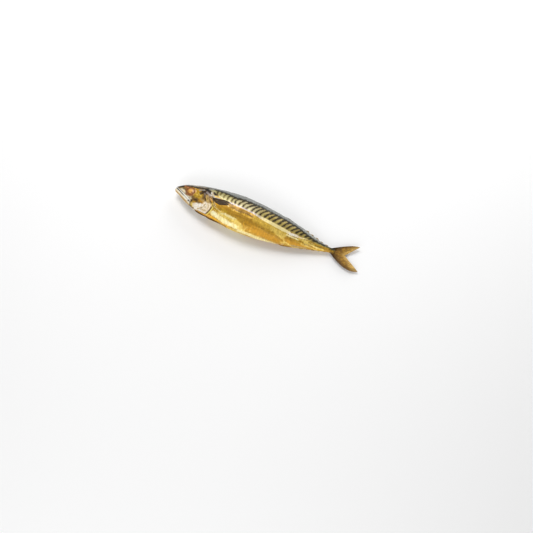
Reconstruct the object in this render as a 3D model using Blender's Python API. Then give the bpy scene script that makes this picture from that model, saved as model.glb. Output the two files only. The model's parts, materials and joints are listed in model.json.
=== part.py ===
"""A whole smoked mackerel, lying on its right side with the left flank up.

The model is in metres. +X runs from the snout to the tail, +Y from the belly to the back, and +Z up.
The origin lies under the middle of the fish, on the surface that it rests on.
The body is a loft over measured stations, with the head's relief pushed into its skin. The fins are
thin plates of their own, and one Boolean union joins everything into a single solid.
"""

import math

import bmesh
import bpy

MM = 0.001

# The fish is measured from the tip of its snout, along the line to the middle of its tail root.
# Each station: distance behind the snout, height of the back, height of the belly (below the line),
# half the width, and how high the backbone lies above the table, which falls towards the tail.
STATIONS_MM = (
    # behind  back  belly  half  backbone
    (0.0, 2.4, 2.2, 1.9, 15.2),  # snout
    (4.0, 7.0, 4.6, 4.2, 15.5),  # lips
    (10.0, 11.2, 7.4, 6.6, 16.0),  # nostrils
    (20.0, 15.5, 13.2, 10.2, 16.9),  # front of the eye
    (36.5, 20.2, 20.7, 14.4, 18.0),  # jaw joint
    (55.0, 24.0, 25.1, 17.8, 19.0),  # gill cover
    (73.0, 26.6, 28.6, 20.3, 19.8),  # behind the gills
    (100.0, 29.4, 32.9, 22.6, 20.6),  # shoulder
    (127.0, 30.7, 36.1, 23.4, 20.9),  # deepest
    (155.0, 29.1, 36.0, 22.8, 20.5),  # end of the first back fin
    (183.0, 25.9, 33.3, 20.8, 19.2),  # vent
    (210.0, 22.5, 29.6, 17.6, 17.0),  # second back fin
    (237.0, 17.5, 24.9, 13.2, 14.2),  # front of the finlets
    (264.0, 10.3, 17.4, 8.6, 11.4),  # middle of the finlets
    (288.0, 3.9, 11.3, 5.2, 9.2),  # last finlet
    (303.0, 1.6, 7.9, 3.9, 8.1),  # tail root
    (312.0, 1.7, 7.9, 1.3, 7.5),  # end of the flesh, inside the tail fin
)
SNOUT_ROUND = 3.0 * MM
END_ROUND = 2.0 * MM
SECTION_FULLNESS = 2.15
BELLY_NARROWING = 0.13

# How finely the skin is divided.
HEAD_LENGTH = 84.0 * MM
HEAD_ROWS = 44
TRUNK_ROWS = 38
AROUND = 48

# The eye, and the jaws' gap, which runs from the snout to the jaw's corner as a shallow curve.
EYE_ALONG = 30.0 * MM
EYE_UP = 3.1 * MM
EYE_RADIUS = 7.6 * MM
EYE_BULGE = 1.3 * MM
EYE_RING_DEPTH = 0.7 * MM
EYE_RING_WIDTH = 1.5 * MM
MOUTH_START = 4.5 * MM
MOUTH_SLOPE = -0.60
MOUTH_CURVE = 0.7
MOUTH_FRONT = 3.2 * MM
MOUTH_LENGTH = 35.0 * MM
MOUTH_DEPTH = 1.5 * MM
MOUTH_WIDTH = 1.2 * MM

# Two half ovals on the side of the head: the gill cover's rear edge, and the line behind the cheek.
# Each oval: centre behind the snout, centre's height, reach to the rear, upwards and downwards.
COVER_OVAL_MM = (40.0, -11.0, 38.0, 29.3, 27.0)
COVER_STEP = 1.5 * MM
COVER_SWELL = (0.35, 0.95)
COVER_EDGE = (0.985, 1.035)
CHEEK_OVAL_MM = (40.0, -5.0, 25.0, 17.4, 17.0)
CHEEK_LINE_WIDTH = 0.06
CHEEK_LINE_DEPTH = 0.6 * MM

# The tail fin is a fan of rays from the tail root. Each lobe bends out to a tip behind the fork.
TAIL_ROOT_ALONG = 304.0 * MM
TAIL_ROOT_HALF = 4.0 * MM
TAIL_ROOT_UP = -3.1 * MM
FORK_ALONG = 331.0 * MM
FORK_UP = -1.8 * MM
UPPER_TIP = (352.5 * MM, 21.5 * MM)
UPPER_BEND = (335.5 * MM, 28.5 * MM)
LOWER_TIP = (364.0 * MM, -21.5 * MM)
LOWER_BEND = (342.5 * MM, -34.0 * MM)
TAIL_RAYS = 24
TAIL_STEPS = 10
TAIL_ROOT_HEIGHT = 7.9 * MM
TAIL_TIP_DROP = 3.2 * MM
TAIL_UPPER_LIFT = 4.5 * MM
TAIL_THICK_ROOT = 2.0 * MM
TAIL_THICK_EDGE = 0.8 * MM
TAIL_RIB = 0.22 * MM

# Fins folded along the back and under the belly: start, length, height and thickness.
FOLDED_FINS_MM = {
    "first_back_fin": (112.0, 42.0, 1.9, 2.4, 1),
    "second_back_fin": (206.0, 26.0, 3.0, 2.0, 1),
    "anal_fin": (212.0, 26.0, 2.8, 2.0, -1),
}
FOLDED_STEPS = 8
FIN_SINK = 2.2 * MM

# Finlets stand in a row along both edges of the tail stalk.
FINLETS = 5
FIRST_FINLET = 252.0 * MM
FINLET_PITCH = 10.8 * MM
FINLET_LENGTH = 7.6 * MM
FINLET_HEIGHT = 1.9 * MM
FINLET_THICK = 1.7 * MM

# The pectoral fin is a narrow leaf, laid back on the flank behind the gill cover.
PECTORAL_ROOT = (74.5 * MM, 0.8 * MM)
PECTORAL_TIP = (107.0 * MM, 0.2 * MM)
PECTORAL_HALF = 5.6 * MM
PECTORAL_THICK = 0.9 * MM
PECTORAL_STEPS = 10
PECTORAL_ACROSS = 4

# The belly fins are a folded pair beside the midline, and the throat flap is the right gill cover's
# lower edge, which shows below the throat.
BELLY_FIN_START = 67.0 * MM
BELLY_FIN_LENGTH = 25.0 * MM
BELLY_FIN_HEIGHT = 2.4 * MM
BELLY_FIN_THICK = 2.2 * MM
THROAT_FLAP_START = 46.5 * MM
THROAT_FLAP_LENGTH = 27.0 * MM
THROAT_FLAP_HEIGHT = 2.0 * MM
THROAT_FLAP_THICK = 1.8 * MM
THROAT_FLAP_BELOW_SPINE = 3.0 * MM

SKIN_COLOUR = (0.62, 0.42, 0.13, 1.0)
SKIN_ROUGHNESS = 0.35
SKIN_METALLIC = 0.3

BEHIND, BACK, BELLY, HALF_WIDTH, SPINE = range(5)


def clear_scene():
    for old in list(bpy.data.objects):
        bpy.data.objects.remove(old)


def smooth_step(low, high, value):
    share = min(1.0, max(0.0, (value - low) / (high - low)))
    return share * share * (3.0 - 2.0 * share)


def bump(distance, width):
    return math.exp(-((distance / width) ** 2))


def station_slope(row, column):
    """The outline's slope at a station, kept from overshooting its neighbours."""
    before, here, after = STATIONS_MM[row - 1], STATIONS_MM[row], STATIONS_MM[row + 1]
    left = (here[column] - before[column]) / (here[BEHIND] - before[BEHIND])
    right = (after[column] - here[column]) / (after[BEHIND] - here[BEHIND])
    return 0.0 if left * right <= 0 else 2.0 * left * right / (left + right)


def measure(column, along):
    """One of the stations' columns at any distance behind the snout, on a smooth curve, in metres."""
    place = along / MM
    last = len(STATIONS_MM) - 1
    row = 0
    while row < last - 1 and place > STATIONS_MM[row + 1][BEHIND]:
        row += 1
    near, far = STATIONS_MM[row], STATIONS_MM[row + 1]
    gap = far[BEHIND] - near[BEHIND]
    rise = (far[column] - near[column]) / gap
    slope_near = station_slope(row, column) if row > 0 else rise
    slope_far = station_slope(row + 1, column) if row + 1 < last else rise
    t = min(1.0, max(0.0, (place - near[BEHIND]) / gap))
    value = (
        near[column] * (1 + 2 * t) * (1 - t) ** 2
        + slope_near * gap * t * (1 - t) ** 2
        + far[column] * t * t * (3 - 2 * t)
        - slope_far * gap * t * t * (1 - t)
    )
    return value * MM


def end_rounding(along):
    """Closes the body to a point at each end, like the end of an egg."""
    share = 1.0
    if along < SNOUT_ROUND:
        share = math.sqrt(max(0.0, 1 - (1 - along / SNOUT_ROUND) ** 2))
    from_end = STATIONS_MM[-1][BEHIND] * MM - along
    if from_end < END_ROUND:
        share = math.sqrt(max(0.0, 1 - (1 - from_end / END_ROUND) ** 2))
    return share


def section(along):
    """Middle height, half depth and half width of the body."""
    back, belly = measure(BACK, along), -measure(BELLY, along)
    closing = end_rounding(along)
    return (back + belly) / 2, closing * (back - belly) / 2, closing * measure(HALF_WIDTH, along)


def narrowing(level):
    """The belly is a little narrower than the back. Level runs from 1 at the back to -1 at the belly."""
    return 1.0 - BELLY_NARROWING * max(0.0, -level) ** 2


def skin_above_spine(along, up):
    """How far the flank's skin lies from the fish's middle plane."""
    middle, half_depth, half_width = section(along)
    level = max(-1.0, min(1.0, (up - middle) / half_depth))
    swell = (1 - abs(level) ** SECTION_FULLNESS) ** (1 / SECTION_FULLNESS)
    return half_width * narrowing(level) * swell


def oval_share(oval, along, up):
    """Distance from the middle of a half oval, as a share of the way to its edge."""
    centre_along, centre_up, reach, above, below = (value * MM for value in oval)
    tall = above if up > centre_up else below
    return math.hypot(max(0.0, along - centre_along) / reach, (up - centre_up) / tall)


def mouth_up(along):
    return MOUTH_START + MOUTH_SLOPE * math.hypot(along, MOUTH_FRONT) + MOUTH_CURVE * along**2


def head_relief(along, up):
    """How far the head's bones and openings stand out of the plain loft."""
    push = 0.0
    from_eye = math.hypot(along - EYE_ALONG, up - EYE_UP)
    if from_eye < EYE_RADIUS:
        push += EYE_BULGE * (1 - (from_eye / EYE_RADIUS) ** 2)
    push -= EYE_RING_DEPTH * bump(from_eye - EYE_RADIUS, EYE_RING_WIDTH)
    mouth_end = 1 - smooth_step(0.85 * MOUTH_LENGTH, MOUTH_LENGTH, along)
    push -= MOUTH_DEPTH * bump(up - mouth_up(along), MOUTH_WIDTH) * mouth_end
    behind_cheek = smooth_step(COVER_OVAL_MM[0] * MM, (COVER_OVAL_MM[0] + 6.0) * MM, along)
    cover = oval_share(COVER_OVAL_MM, along, up)
    swell = smooth_step(*COVER_SWELL, cover) * (1 - smooth_step(*COVER_EDGE, cover))
    line = bump(oval_share(CHEEK_OVAL_MM, along, up) - 1.0, CHEEK_LINE_WIDTH)
    return push + behind_cheek * (COVER_STEP * swell - CHEEK_LINE_DEPTH * line)


def skin_point(along, turn):
    """A point of the skin. Turn goes round from the back over the left flank to the belly and on."""
    middle, half_depth, half_width = section(along)
    power = 2 / SECTION_FULLNESS
    cosine, sine = math.cos(turn), math.sin(turn)
    level = math.copysign(abs(cosine) ** power, cosine)
    side = math.copysign(abs(sine) ** power, sine) * narrowing(level)
    up, out = middle + half_depth * level, half_width * side
    if along < HEAD_LENGTH:
        push = head_relief(along, up) * abs(sine) * end_rounding(along)
        length = math.hypot(cosine * half_width, sine * half_depth) or 1.0
        up += push * cosine * half_width / length
        out += push * sine * half_depth / length
    return (along, up, max(0.0, measure(SPINE, along) + out))


def body_rows():
    """Distances behind the snout of the skin's rings, close together on the head and at both ends."""
    end = STATIONS_MM[-1][BEHIND] * MM
    rows = [SNOUT_ROUND * (1 - math.cos(math.pi / 2 * k / 4)) for k in range(1, 4)]
    rows += [SNOUT_ROUND + (HEAD_LENGTH - SNOUT_ROUND) * k / HEAD_ROWS for k in range(HEAD_ROWS)]
    rows += [HEAD_LENGTH + (end - END_ROUND - HEAD_LENGTH) * k / TRUNK_ROWS for k in range(TRUNK_ROWS + 1)]
    rows += [end - END_ROUND * (1 - math.sin(math.pi / 2 * k / 3)) for k in range(1, 3)]
    return rows


def mesh_object(name, points, faces):
    """A new object from points and faces, with its normals made to face out."""
    mesh = bpy.data.meshes.new(name)
    build = bmesh.new()
    corners = [build.verts.new(point) for point in points]
    for face in faces:
        build.faces.new([corners[k] for k in face])
    bmesh.ops.recalc_face_normals(build, faces=build.faces)
    build.to_mesh(mesh)
    build.free()
    made = bpy.data.objects.new(name, mesh)
    bpy.context.scene.collection.objects.link(made)
    return made


def make_body():
    """The flesh from snout to tail root as one closed loft."""
    rows = body_rows()
    end = STATIONS_MM[-1][BEHIND] * MM
    points = [skin_point(along, math.tau * k / AROUND) for along in rows for k in range(AROUND)]
    faces = []
    for row in range(len(rows) - 1):
        for k in range(AROUND):
            after = (k + 1) % AROUND
            here, there = row * AROUND, (row + 1) * AROUND
            faces.append((here + k, here + after, there + after, there + k))
    for along, ring in ((0.0, 0), (end, (len(rows) - 1) * AROUND)):
        tip = len(points)
        points.append((along, section(along)[0], measure(SPINE, along)))
        faces += [(tip, ring + k, ring + (k + 1) % AROUND) for k in range(AROUND)]
    return mesh_object("smoked_mackerel", points, faces)


def make_plate(name, top, bottom):
    """A closed thin plate between two grids of points with the same number of rows and columns."""
    rows, columns = len(top), len(top[0])
    points = [point for grid in (top, bottom) for row in grid for point in row]

    def at(layer, row, column):
        return (layer * rows + row) * columns + column

    faces = []
    for layer in (0, 1):
        for row in range(rows - 1):
            for column in range(columns - 1):
                quad = [(row, column), (row, column + 1), (row + 1, column + 1), (row + 1, column)]
                corners = [at(layer, *place) for place in quad]
                faces += [(corners[0], corners[1], corners[2]), (corners[0], corners[2], corners[3])]
    border = [(0, c) for c in range(columns)] + [(r, columns - 1) for r in range(1, rows)]
    border += [(rows - 1, c) for c in range(columns - 2, -1, -1)]
    border += [(r, 0) for r in range(rows - 2, 0, -1)]
    for place, following in zip(border, border[1:] + border[:1]):
        faces.append((at(0, *place), at(0, *following), at(1, *following), at(1, *place)))
    return mesh_object(name, points, faces)


def bend(start, control, end, t):
    """A point on the curve from start to end that leans towards control."""
    return tuple(
        (1 - t) ** 2 * a + 2 * t * (1 - t) * b + t * t * c for a, b, c in zip(start, control, end)
    )


def tail_ray(spread, t):
    """A point of the tail fin's middle surface. Spread is 1 at the upper edge and -1 at the lower."""
    share = abs(spread)
    tip, outer = (UPPER_TIP, UPPER_BEND) if spread > 0 else (LOWER_TIP, LOWER_BEND)
    root = (TAIL_ROOT_ALONG, TAIL_ROOT_UP + TAIL_ROOT_HALF * spread)
    fork = (FORK_ALONG, FORK_UP)
    end = tuple(f + (p - f) * share**1.15 for f, p in zip(fork, tip))
    straight = tuple((a + b) / 2 for a, b in zip(root, end))
    control = tuple(s + (o - s) * share**3 for s, o in zip(straight, outer))
    along, up = bend(root, control, end, t)
    lift = TAIL_UPPER_LIFT * max(0.0, spread) ** 2 * t * t
    return along, up, TAIL_ROOT_HEIGHT - TAIL_TIP_DROP * t + lift


def make_tail_fin():
    top, bottom = [], []
    for k in range(TAIL_RAYS + 1):
        spread = 2 * k / TAIL_RAYS - 1
        upper, lower = [], []
        for step in range(TAIL_STEPS + 1):
            t = step / TAIL_STEPS
            along, up, height = tail_ray(spread, t)
            thick = TAIL_THICK_ROOT + (TAIL_THICK_EDGE - TAIL_THICK_ROOT) * t**0.6
            thick += TAIL_RIB * (1 if k % 2 else -1) * (1 - t)
            upper.append((along, up, height + thick / 2))
            lower.append((along, up, height - thick / 2))
        top.append(upper)
        bottom.append(lower)
    return make_plate("tail_fin", top, bottom)


def folded_rise(t):
    """The height of a folded fin along its base: a quick rise, a long fall, and both ends in the flesh."""
    return 1.15 * math.sin(math.pi * t**0.6) * (1 - 0.35 * t) - 0.15


def make_edge_fin(name, start, length, height, thick, side, away=0.0):
    """A low fin in the fish's middle plane, rising from the back (side 1) or the belly (side -1)."""
    column = BACK if side > 0 else BELLY
    top, bottom = [], []
    for step in range(FOLDED_STEPS + 1):
        t = step / FOLDED_STEPS
        along = start + length * t
        edge = measure(column, along)
        tall = height * folded_rise(t)
        middle = measure(SPINE, along) - away
        for grid, way in ((top, 1), (bottom, -1)):
            root = (along - 0.3 * height, side * (edge - FIN_SINK), middle + way * thick / 2)
            rim = (along + 0.5 * height, side * (edge + tall), middle + way * thick * 0.16)
            shoulder = tuple(0.45 * a + 0.55 * b for a, b in zip(root, rim))
            grid.append([root, shoulder, rim])
    return make_plate(name, top, bottom)


def make_folded_fins():
    made = []
    for name, (start, length, height, thick, side) in FOLDED_FINS_MM.items():
        made.append(make_edge_fin(name, start * MM, length * MM, height * MM, thick * MM, side))
    return made


def make_finlets():
    made = []
    for side in (1, -1):
        for k in range(FINLETS):
            start = FIRST_FINLET + k * FINLET_PITCH
            name = f"finlet_{'back' if side > 0 else 'belly'}_{k + 1}"
            made.append(make_finlet(name, start, side))
    return made


def make_finlet(name, start, side):
    """A small blade that leans to the rear, with its tip free of the stalk."""
    column = BACK if side > 0 else BELLY
    top, bottom = [], []
    for t, rise in ((0.0, 0.1), (0.45, 0.75), (0.8, 1.0), (1.0, 0.85)):
        along = start + FINLET_LENGTH * t
        edge = measure(column, along)
        for grid, way in ((top, 1), (bottom, -1)):
            height = measure(SPINE, along) + way * FINLET_THICK * 0.5 * (1 - 0.5 * t)
            rim_height = measure(SPINE, along) + way * FINLET_THICK * 0.18
            grid.append(
                [
                    (along, side * (edge - FINLET_HEIGHT), height),
                    (along, side * (edge + FINLET_HEIGHT * rise), rim_height),
                ]
            )
    return make_plate(name, top, bottom)


def pectoral_half(t):
    return PECTORAL_HALF * (0.35 + 0.65 * math.sin(math.pi * min(1.0, t * 1.25) ** 0.8)) * (1 - 0.55 * t)


def make_pectoral_fin():
    """The left pectoral fin, a leaf that lies back on the flank."""
    top, bottom = [], []
    for step in range(PECTORAL_STEPS + 1):
        t = step / PECTORAL_STEPS
        outer, inner = [], []
        for k in range(PECTORAL_ACROSS + 1):
            across = 2 * k / PECTORAL_ACROSS - 1
            along = PECTORAL_ROOT[0] + (PECTORAL_TIP[0] - PECTORAL_ROOT[0]) * t
            up = PECTORAL_ROOT[1] + (PECTORAL_TIP[1] - PECTORAL_ROOT[1]) * t
            up += across * pectoral_half(t)
            spine = measure(SPINE, along)
            skin = skin_above_spine(along, up)
            lifted = skin + PECTORAL_THICK * (1.25 - 0.35 * abs(across))
            outer.append((along, up, spine + lifted))
            inner.append((along, up, spine + skin - 2 * PECTORAL_THICK))
        top.append(outer)
        bottom.append(inner)
    return make_plate("pectoral_fin", top, bottom)


def join_all(body, extras):
    """Fuses the extras into the body with one Boolean union, and removes them."""
    group = bpy.data.collections.new("fins")
    bpy.context.scene.collection.children.link(group)
    for extra in extras:
        bpy.context.scene.collection.objects.unlink(extra)
        group.objects.link(extra)
    union = body.modifiers.new("union", "BOOLEAN")
    union.operation = "UNION"
    union.operand_type = "COLLECTION"
    union.collection = group
    union.solver = "MANIFOLD"
    bpy.context.view_layer.objects.active = body
    with bpy.context.temp_override(object=body, active_object=body):
        bpy.ops.object.modifier_apply(modifier=union.name)
    for extra in extras:
        bpy.data.objects.remove(extra)
    bpy.data.collections.remove(group)


def centre_over_origin(body):
    """Moves the mesh so that the middle of its length and depth stands over the origin."""
    corners = [vertex.co for vertex in body.data.vertices]
    middle = [(min(c[axis] for c in corners) + max(c[axis] for c in corners)) / 2 for axis in (0, 1)]
    for vertex in body.data.vertices:
        vertex.co.x -= middle[0]
        vertex.co.y -= middle[1]


def skin_material():
    made = bpy.data.materials.new("smoked_skin")
    made.use_nodes = True
    shader = made.node_tree.nodes["Principled BSDF"]
    shader.inputs["Base Color"].default_value = SKIN_COLOUR
    shader.inputs["Roughness"].default_value = SKIN_ROUGHNESS
    shader.inputs["Metallic"].default_value = SKIN_METALLIC
    return made


def main():
    clear_scene()
    body = make_body()
    extras = [make_tail_fin()]
    extras += make_folded_fins()
    extras += make_finlets()
    extras.append(make_pectoral_fin())
    extras.append(
        make_edge_fin(
            "belly_fins", BELLY_FIN_START, BELLY_FIN_LENGTH, BELLY_FIN_HEIGHT, BELLY_FIN_THICK, -1
        )
    )
    extras.append(
        make_edge_fin(
            "throat_flap",
            THROAT_FLAP_START,
            THROAT_FLAP_LENGTH,
            THROAT_FLAP_HEIGHT,
            THROAT_FLAP_THICK,
            -1,
            THROAT_FLAP_BELOW_SPINE,
        )
    )
    join_all(body, extras)
    centre_over_origin(body)
    body.data.materials.append(skin_material())
    body.data.shade_smooth()


main()
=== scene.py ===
"""Looks of a whole smoked mackerel that lies on its right side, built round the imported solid.

+X runs from the snout to the tail, +Y from the belly to the back and +Z up, in metres. Each piece is made
in place: heights and distances are worked out on the fish, then laid down on the table with it.
"""

import json
import math

import bmesh
import bpy
import numpy as np
from bpy.props import FloatProperty, FloatVectorProperty, IntProperty, PointerProperty
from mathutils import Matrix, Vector

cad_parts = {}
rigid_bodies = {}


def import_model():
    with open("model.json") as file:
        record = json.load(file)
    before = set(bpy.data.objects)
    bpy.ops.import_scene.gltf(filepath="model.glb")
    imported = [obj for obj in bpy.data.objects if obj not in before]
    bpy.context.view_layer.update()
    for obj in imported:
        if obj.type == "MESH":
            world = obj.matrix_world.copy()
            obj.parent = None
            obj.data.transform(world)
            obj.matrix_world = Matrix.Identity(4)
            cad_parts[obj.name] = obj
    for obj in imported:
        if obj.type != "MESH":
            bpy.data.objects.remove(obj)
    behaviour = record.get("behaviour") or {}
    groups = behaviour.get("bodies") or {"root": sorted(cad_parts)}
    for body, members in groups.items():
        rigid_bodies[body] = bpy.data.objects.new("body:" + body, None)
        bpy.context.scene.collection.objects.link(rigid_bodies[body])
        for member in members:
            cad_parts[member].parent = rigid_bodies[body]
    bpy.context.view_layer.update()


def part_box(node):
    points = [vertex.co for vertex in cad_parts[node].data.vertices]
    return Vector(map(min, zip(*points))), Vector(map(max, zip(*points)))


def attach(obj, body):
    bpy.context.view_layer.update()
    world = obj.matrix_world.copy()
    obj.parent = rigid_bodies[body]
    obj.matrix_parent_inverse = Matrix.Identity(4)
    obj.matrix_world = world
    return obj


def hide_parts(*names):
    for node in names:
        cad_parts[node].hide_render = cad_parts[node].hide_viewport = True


bl_info = {
    "name": "Smoked mackerel",
    "version": (1, 0, 0),
    "blender": (4, 5, 0),
    "location": "3D Viewport > Sidebar > Mackerel",
    "description": "Builds a smoked mackerel with its head, skin, fins and a plain studio stage",
    "category": "Add Mesh",
}

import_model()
NODE = "smoked_mackerel"
LOW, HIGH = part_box(NODE)
MM = 0.001
DEEPEST_BELLY = 36.1 * MM
SNOUT_X = LOW.x
LINE_Y = LOW.y + DEEPEST_BELLY

# The fish is measured from the tip of its snout, along the line to the middle of its tail root.
# Distance behind the snout, height of the back, depth of the belly, half the width, and the height of
# the backbone above the table.
STATIONS = np.array(
    (
        (0.0, 2.4, 2.2, 1.9, 15.2),  # snout
        (4.0, 7.0, 4.6, 4.2, 15.5),  # lips
        (10.0, 11.2, 7.4, 6.6, 16.0),  # nostrils
        (20.0, 15.5, 13.2, 10.2, 16.9),  # front of the eye
        (36.5, 20.2, 20.7, 14.4, 18.0),  # jaw joint
        (55.0, 24.0, 25.1, 17.8, 19.0),  # gill cover
        (73.0, 26.6, 28.6, 20.3, 19.8),  # behind the gills
        (100.0, 29.4, 32.9, 22.6, 20.6),  # shoulder
        (127.0, 30.7, 36.1, 23.4, 20.9),  # deepest
        (155.0, 29.1, 36.0, 22.8, 20.5),  # end of the first back fin
        (183.0, 25.9, 33.3, 20.8, 19.2),  # vent
        (210.0, 22.5, 29.6, 17.6, 17.0),  # second back fin
        (237.0, 17.5, 24.9, 13.2, 14.2),  # front of the finlets
        (264.0, 10.3, 17.4, 8.6, 11.4),  # middle of the finlets
        (288.0, 3.9, 11.3, 5.2, 9.2),  # last finlet
        (303.0, 1.6, 7.9, 3.9, 8.1),  # tail root
        (312.0, 1.7, 7.9, 1.3, 7.5),  # end of the flesh
    )
)
BACK, BELLY, HALF_WIDTH, SPINE = 1, 2, 3, 4
BODY_END = STATIONS[-1, 0] * MM
SNOUT_ROUND = 3.0 * MM
END_ROUND = 2.0 * MM
SECTION_FULLNESS = 2.15
BELLY_NARROWING = 0.13
PRESS_SOFTNESS = 1.2 * MM

# Where the lateral line runs, as a share of the way round from the back to the belly.
LINE_ALONG_MM = (0.0, 60.0, 80.0, 108.0, 141.0, 156.0, 171.0, 195.0, 221.0, 240.0, 256.0, 274.0, 312.0)
LINE_SHARE = (0.30, 0.33, 0.375, 0.426, 0.44, 0.452, 0.472, 0.50, 0.53, 0.54, 0.55, 0.585, 0.63)

# The eye: its middle, the reach of its dome under the socket's edge, and how deep its foot lies.
EYE_ALONG, EYE_UP = 30.0 * MM, 3.1 * MM
EYE_RADIUS = 7.4 * MM
EYE_REACH = EYE_RADIUS + 0.5 * MM
EYE_SUNK, EYE_EDGE_MM = 3.2 * MM, 8.0
EYE_RINGS, EYE_COLUMNS = 34, 96
# Each nostril has its place, and its length and height beside a round one.
NOSTRILS = (((12.2, 8.4), 0.55, 0.50), ((15.6, 8.8), 0.95, 0.42))
# The gap of the jaws: its height at the snout, its fall, its bend and its blunt front, where it ends, and
# the dark marks of painted shade in the notches at its corner (from, to, half width).
MOUTH_START, MOUTH_SLOPE, MOUTH_CURVE, MOUTH_FRONT = 4.5 * MM, -0.60, 0.7, 3.2 * MM
MOUTH_END = 35.0 * MM
MOUTH_CORNER_MM = (
    ((34.6, -15.6), (36.6, -20.2), 0.4),
    ((32.0, -14.6), (33.4, -13.8), 1.1),
    ((38.4, -13.0), (39.0, -14.2), 0.9),
)

# Half ovals on the side of the head: centre behind the snout, its height, reach back, above and below.
COVER_OVAL_MM = (40.0, -11.0, 38.0, 29.3, 27.0)
CHEEK_OVAL_MM = (40.0, -5.0, 25.0, 17.4, 17.0)

# Straight seams of the head and creases of the flank: from, to, depth and width.
HEAD_SEAMS_MM = (
    ((34.6, -15.4), (37.2, -21.6), 1.0, 0.7),  # behind the corner of the mouth
    ((63.0, -11.5), (77.0, -16.5), 0.35, 0.55),  # across the gill cover
    ((50.0, -20.5), (70.0, -25.0), 0.28, 0.5),  # under the gill cover
    ((50.0, 13.2), (64.0, 11.5), 0.5, 0.9),  # over the gill cover
)
CREASES_MM = (
    ((208.0, -19.0), (231.0, -24.5), 0.42, 0.9),
    ((84.0, -9.5), (104.0, -19.5), 0.32, 1.1),
    ((82.0, -14.0), (118.0, -23.5), 0.38, 1.3),
    ((80.0, -20.0), (126.0, -29.5), 0.34, 1.5),
    ((118.0, -3.0), (150.0, -5.0), 0.16, 0.7),
    ((226.0, -6.5), (262.0, -8.6), 0.22, 0.8),
)

# The gill cover's rim, the slit under it, and where head and trunk meet over the nape and at the throat.
COVER_STEP = 1.35 * MM
RIM_RADIUS = 0.35 * MM
RIM_UNDER = 4.0 * MM
SLIT_DEPTH = 1.3 * MM
NAPE_SEAM = 62.0 * MM
THROAT_SEAM = 42.0 * MM
NAPE_LAP = 1.2 * MM
VENT_ALONG = 193.0 * MM

# The tail fin: places behind the snout and above the line of the body.
TAIL_ROOT = 304.0 * MM
UPPER_TIP_MM, UPPER_BEND_MM = (352.5, 21.5), (338.5, 23.0)
LOWER_TIP_MM, LOWER_BEND_MM = (364.0, -21.5), (342.5, -34.0)
TAIL_FORK_MM = (331.0, -1.8)
TAIL_GRID, TAIL_RAYS = (300, 110), 34

# The pectoral fin: root, tip, and its reach above and below the line between them on the way out.
PECTORAL_ROOT_MM, PECTORAL_TIP_MM = (73.2, 1.2), (106.5, 0.4)
PECTORAL_UPPER_MM = (1.4, 2.2, 3.0, 3.6, 4.1, 4.5, 4.8, 5.0, 4.9, 4.2)
PECTORAL_LOWER_MM = (1.0, 2.8, 4.8, 6.2, 6.8, 6.5, 5.8, 4.8, 3.5, 1.8)
PECTORAL_LIFT, PECTORAL_THICK = 0.10 * MM, 0.40 * MM
PECTORAL_GRID, PECTORAL_RAYS = (110, 70), 15

# Fins folded along an edge: finish, start, length, rise and thickness, which edge (1 the back and -1 the
# belly), distance from the middle plane, rays, how far the rays lean back, and a number for its bends.
FOLDED_FINS_MM = {
    "first_back_fin": ("grey_fin", 112, 42, 0.9, 2.2, 1, 0.0, 11, 1.2, 0.4),
    "second_back_fin": ("grey_fin", 206, 26, 1.2, 1.8, 1, 0.0, 12, 1.0, 1.4),
    "anal_fin": ("painted_fin", 212, 26, 1.4, 1.8, -1, 0.0, 12, 1.0, 2.4),
    "belly_fin_left": ("brown_fin", 66, 34, 2.1, 1.1, -1, -0.9, 6, 2.0, 3.1),
    "belly_fin_right": ("brown_fin", 65.5, 33, 1.9, 1.1, -1, 0.9, 6, 2.0, 4.1),
    "throat_flap": ("brown_fin", 44, 32, 2.3, 1.5, -1, 3.0, 5, 1.5, 5.2),
}
FOLDED_GRID = (120, 22)

# What is set out in rows: finlets and the scales of the lateral line.
FIRST_FINLET, FINLET_PITCH, FINLET_SUNK = 253.0 * MM, 10.3 * MM, 0.35 * MM
FINLET_THICK = 0.45 * MM
LINE_SCALES, LINE_SCALES_FROM_MM, LINE_SCALES_TO_MM = 132, 104.0, 270.0
LINE_SCALE_SIZE, LINE_SCALE_SUNK = 0.55 * MM, 0.06 * MM

# The stage: its lamps with place, target, size and power, and how far the view is moved in its own plane.
FLOOR_REACH = 14.0
STUDIO_LIGHT = 0.34
LAMPS = (
    ("key", (-0.55, 0.75, 1.5), (0.0, 0.0, 0.0), 0.8, 18.0),
    ("belly", (0.15, -1.4, 0.60), (0.0, 0.0, 0.02), 1.7, 13.0),
    ("back", (0.3, 1.4, 0.45), (0.0, 0.0, 0.02), 1.2, 12.0),
)
VIEW_CENTRE = np.array((0.0, 0.0, 0.015))
VIEW_RIGHT, VIEW_UP = -0.00233, -0.07496

# The ends of the two skins that face each other close to these points inside the fish.
HEAD_INSIDE, TRUNK_INSIDE = (46.0 * MM, 0.0, 0.0), (66.0 * MM, 0.0, 0.0)

# Points round and along the skins, and how often places are sought again.
HEAD_COLUMNS, HEAD_ROWS, RIM_ROWS, RIM_ROUND_ROWS = 320, 286, 14, 7
TRUNK_COLUMNS, TRUNK_ROWS = 216, 444
SEARCH_STEPS, LINE_SEARCH_STEPS = 40, 30
RIPPLE_WAVES = 26
NOWHERE = 99.0
BRUSH_FULL, BRUSH_END = 0.42, 1.42  # a mark is full up to the first and gone at the second, in half widths
ATTRIBUTE_KINDS = {1: ("FLOAT", "value"), 3: ("FLOAT_VECTOR", "vector"), 4: ("FLOAT_COLOR", "color")}

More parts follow.
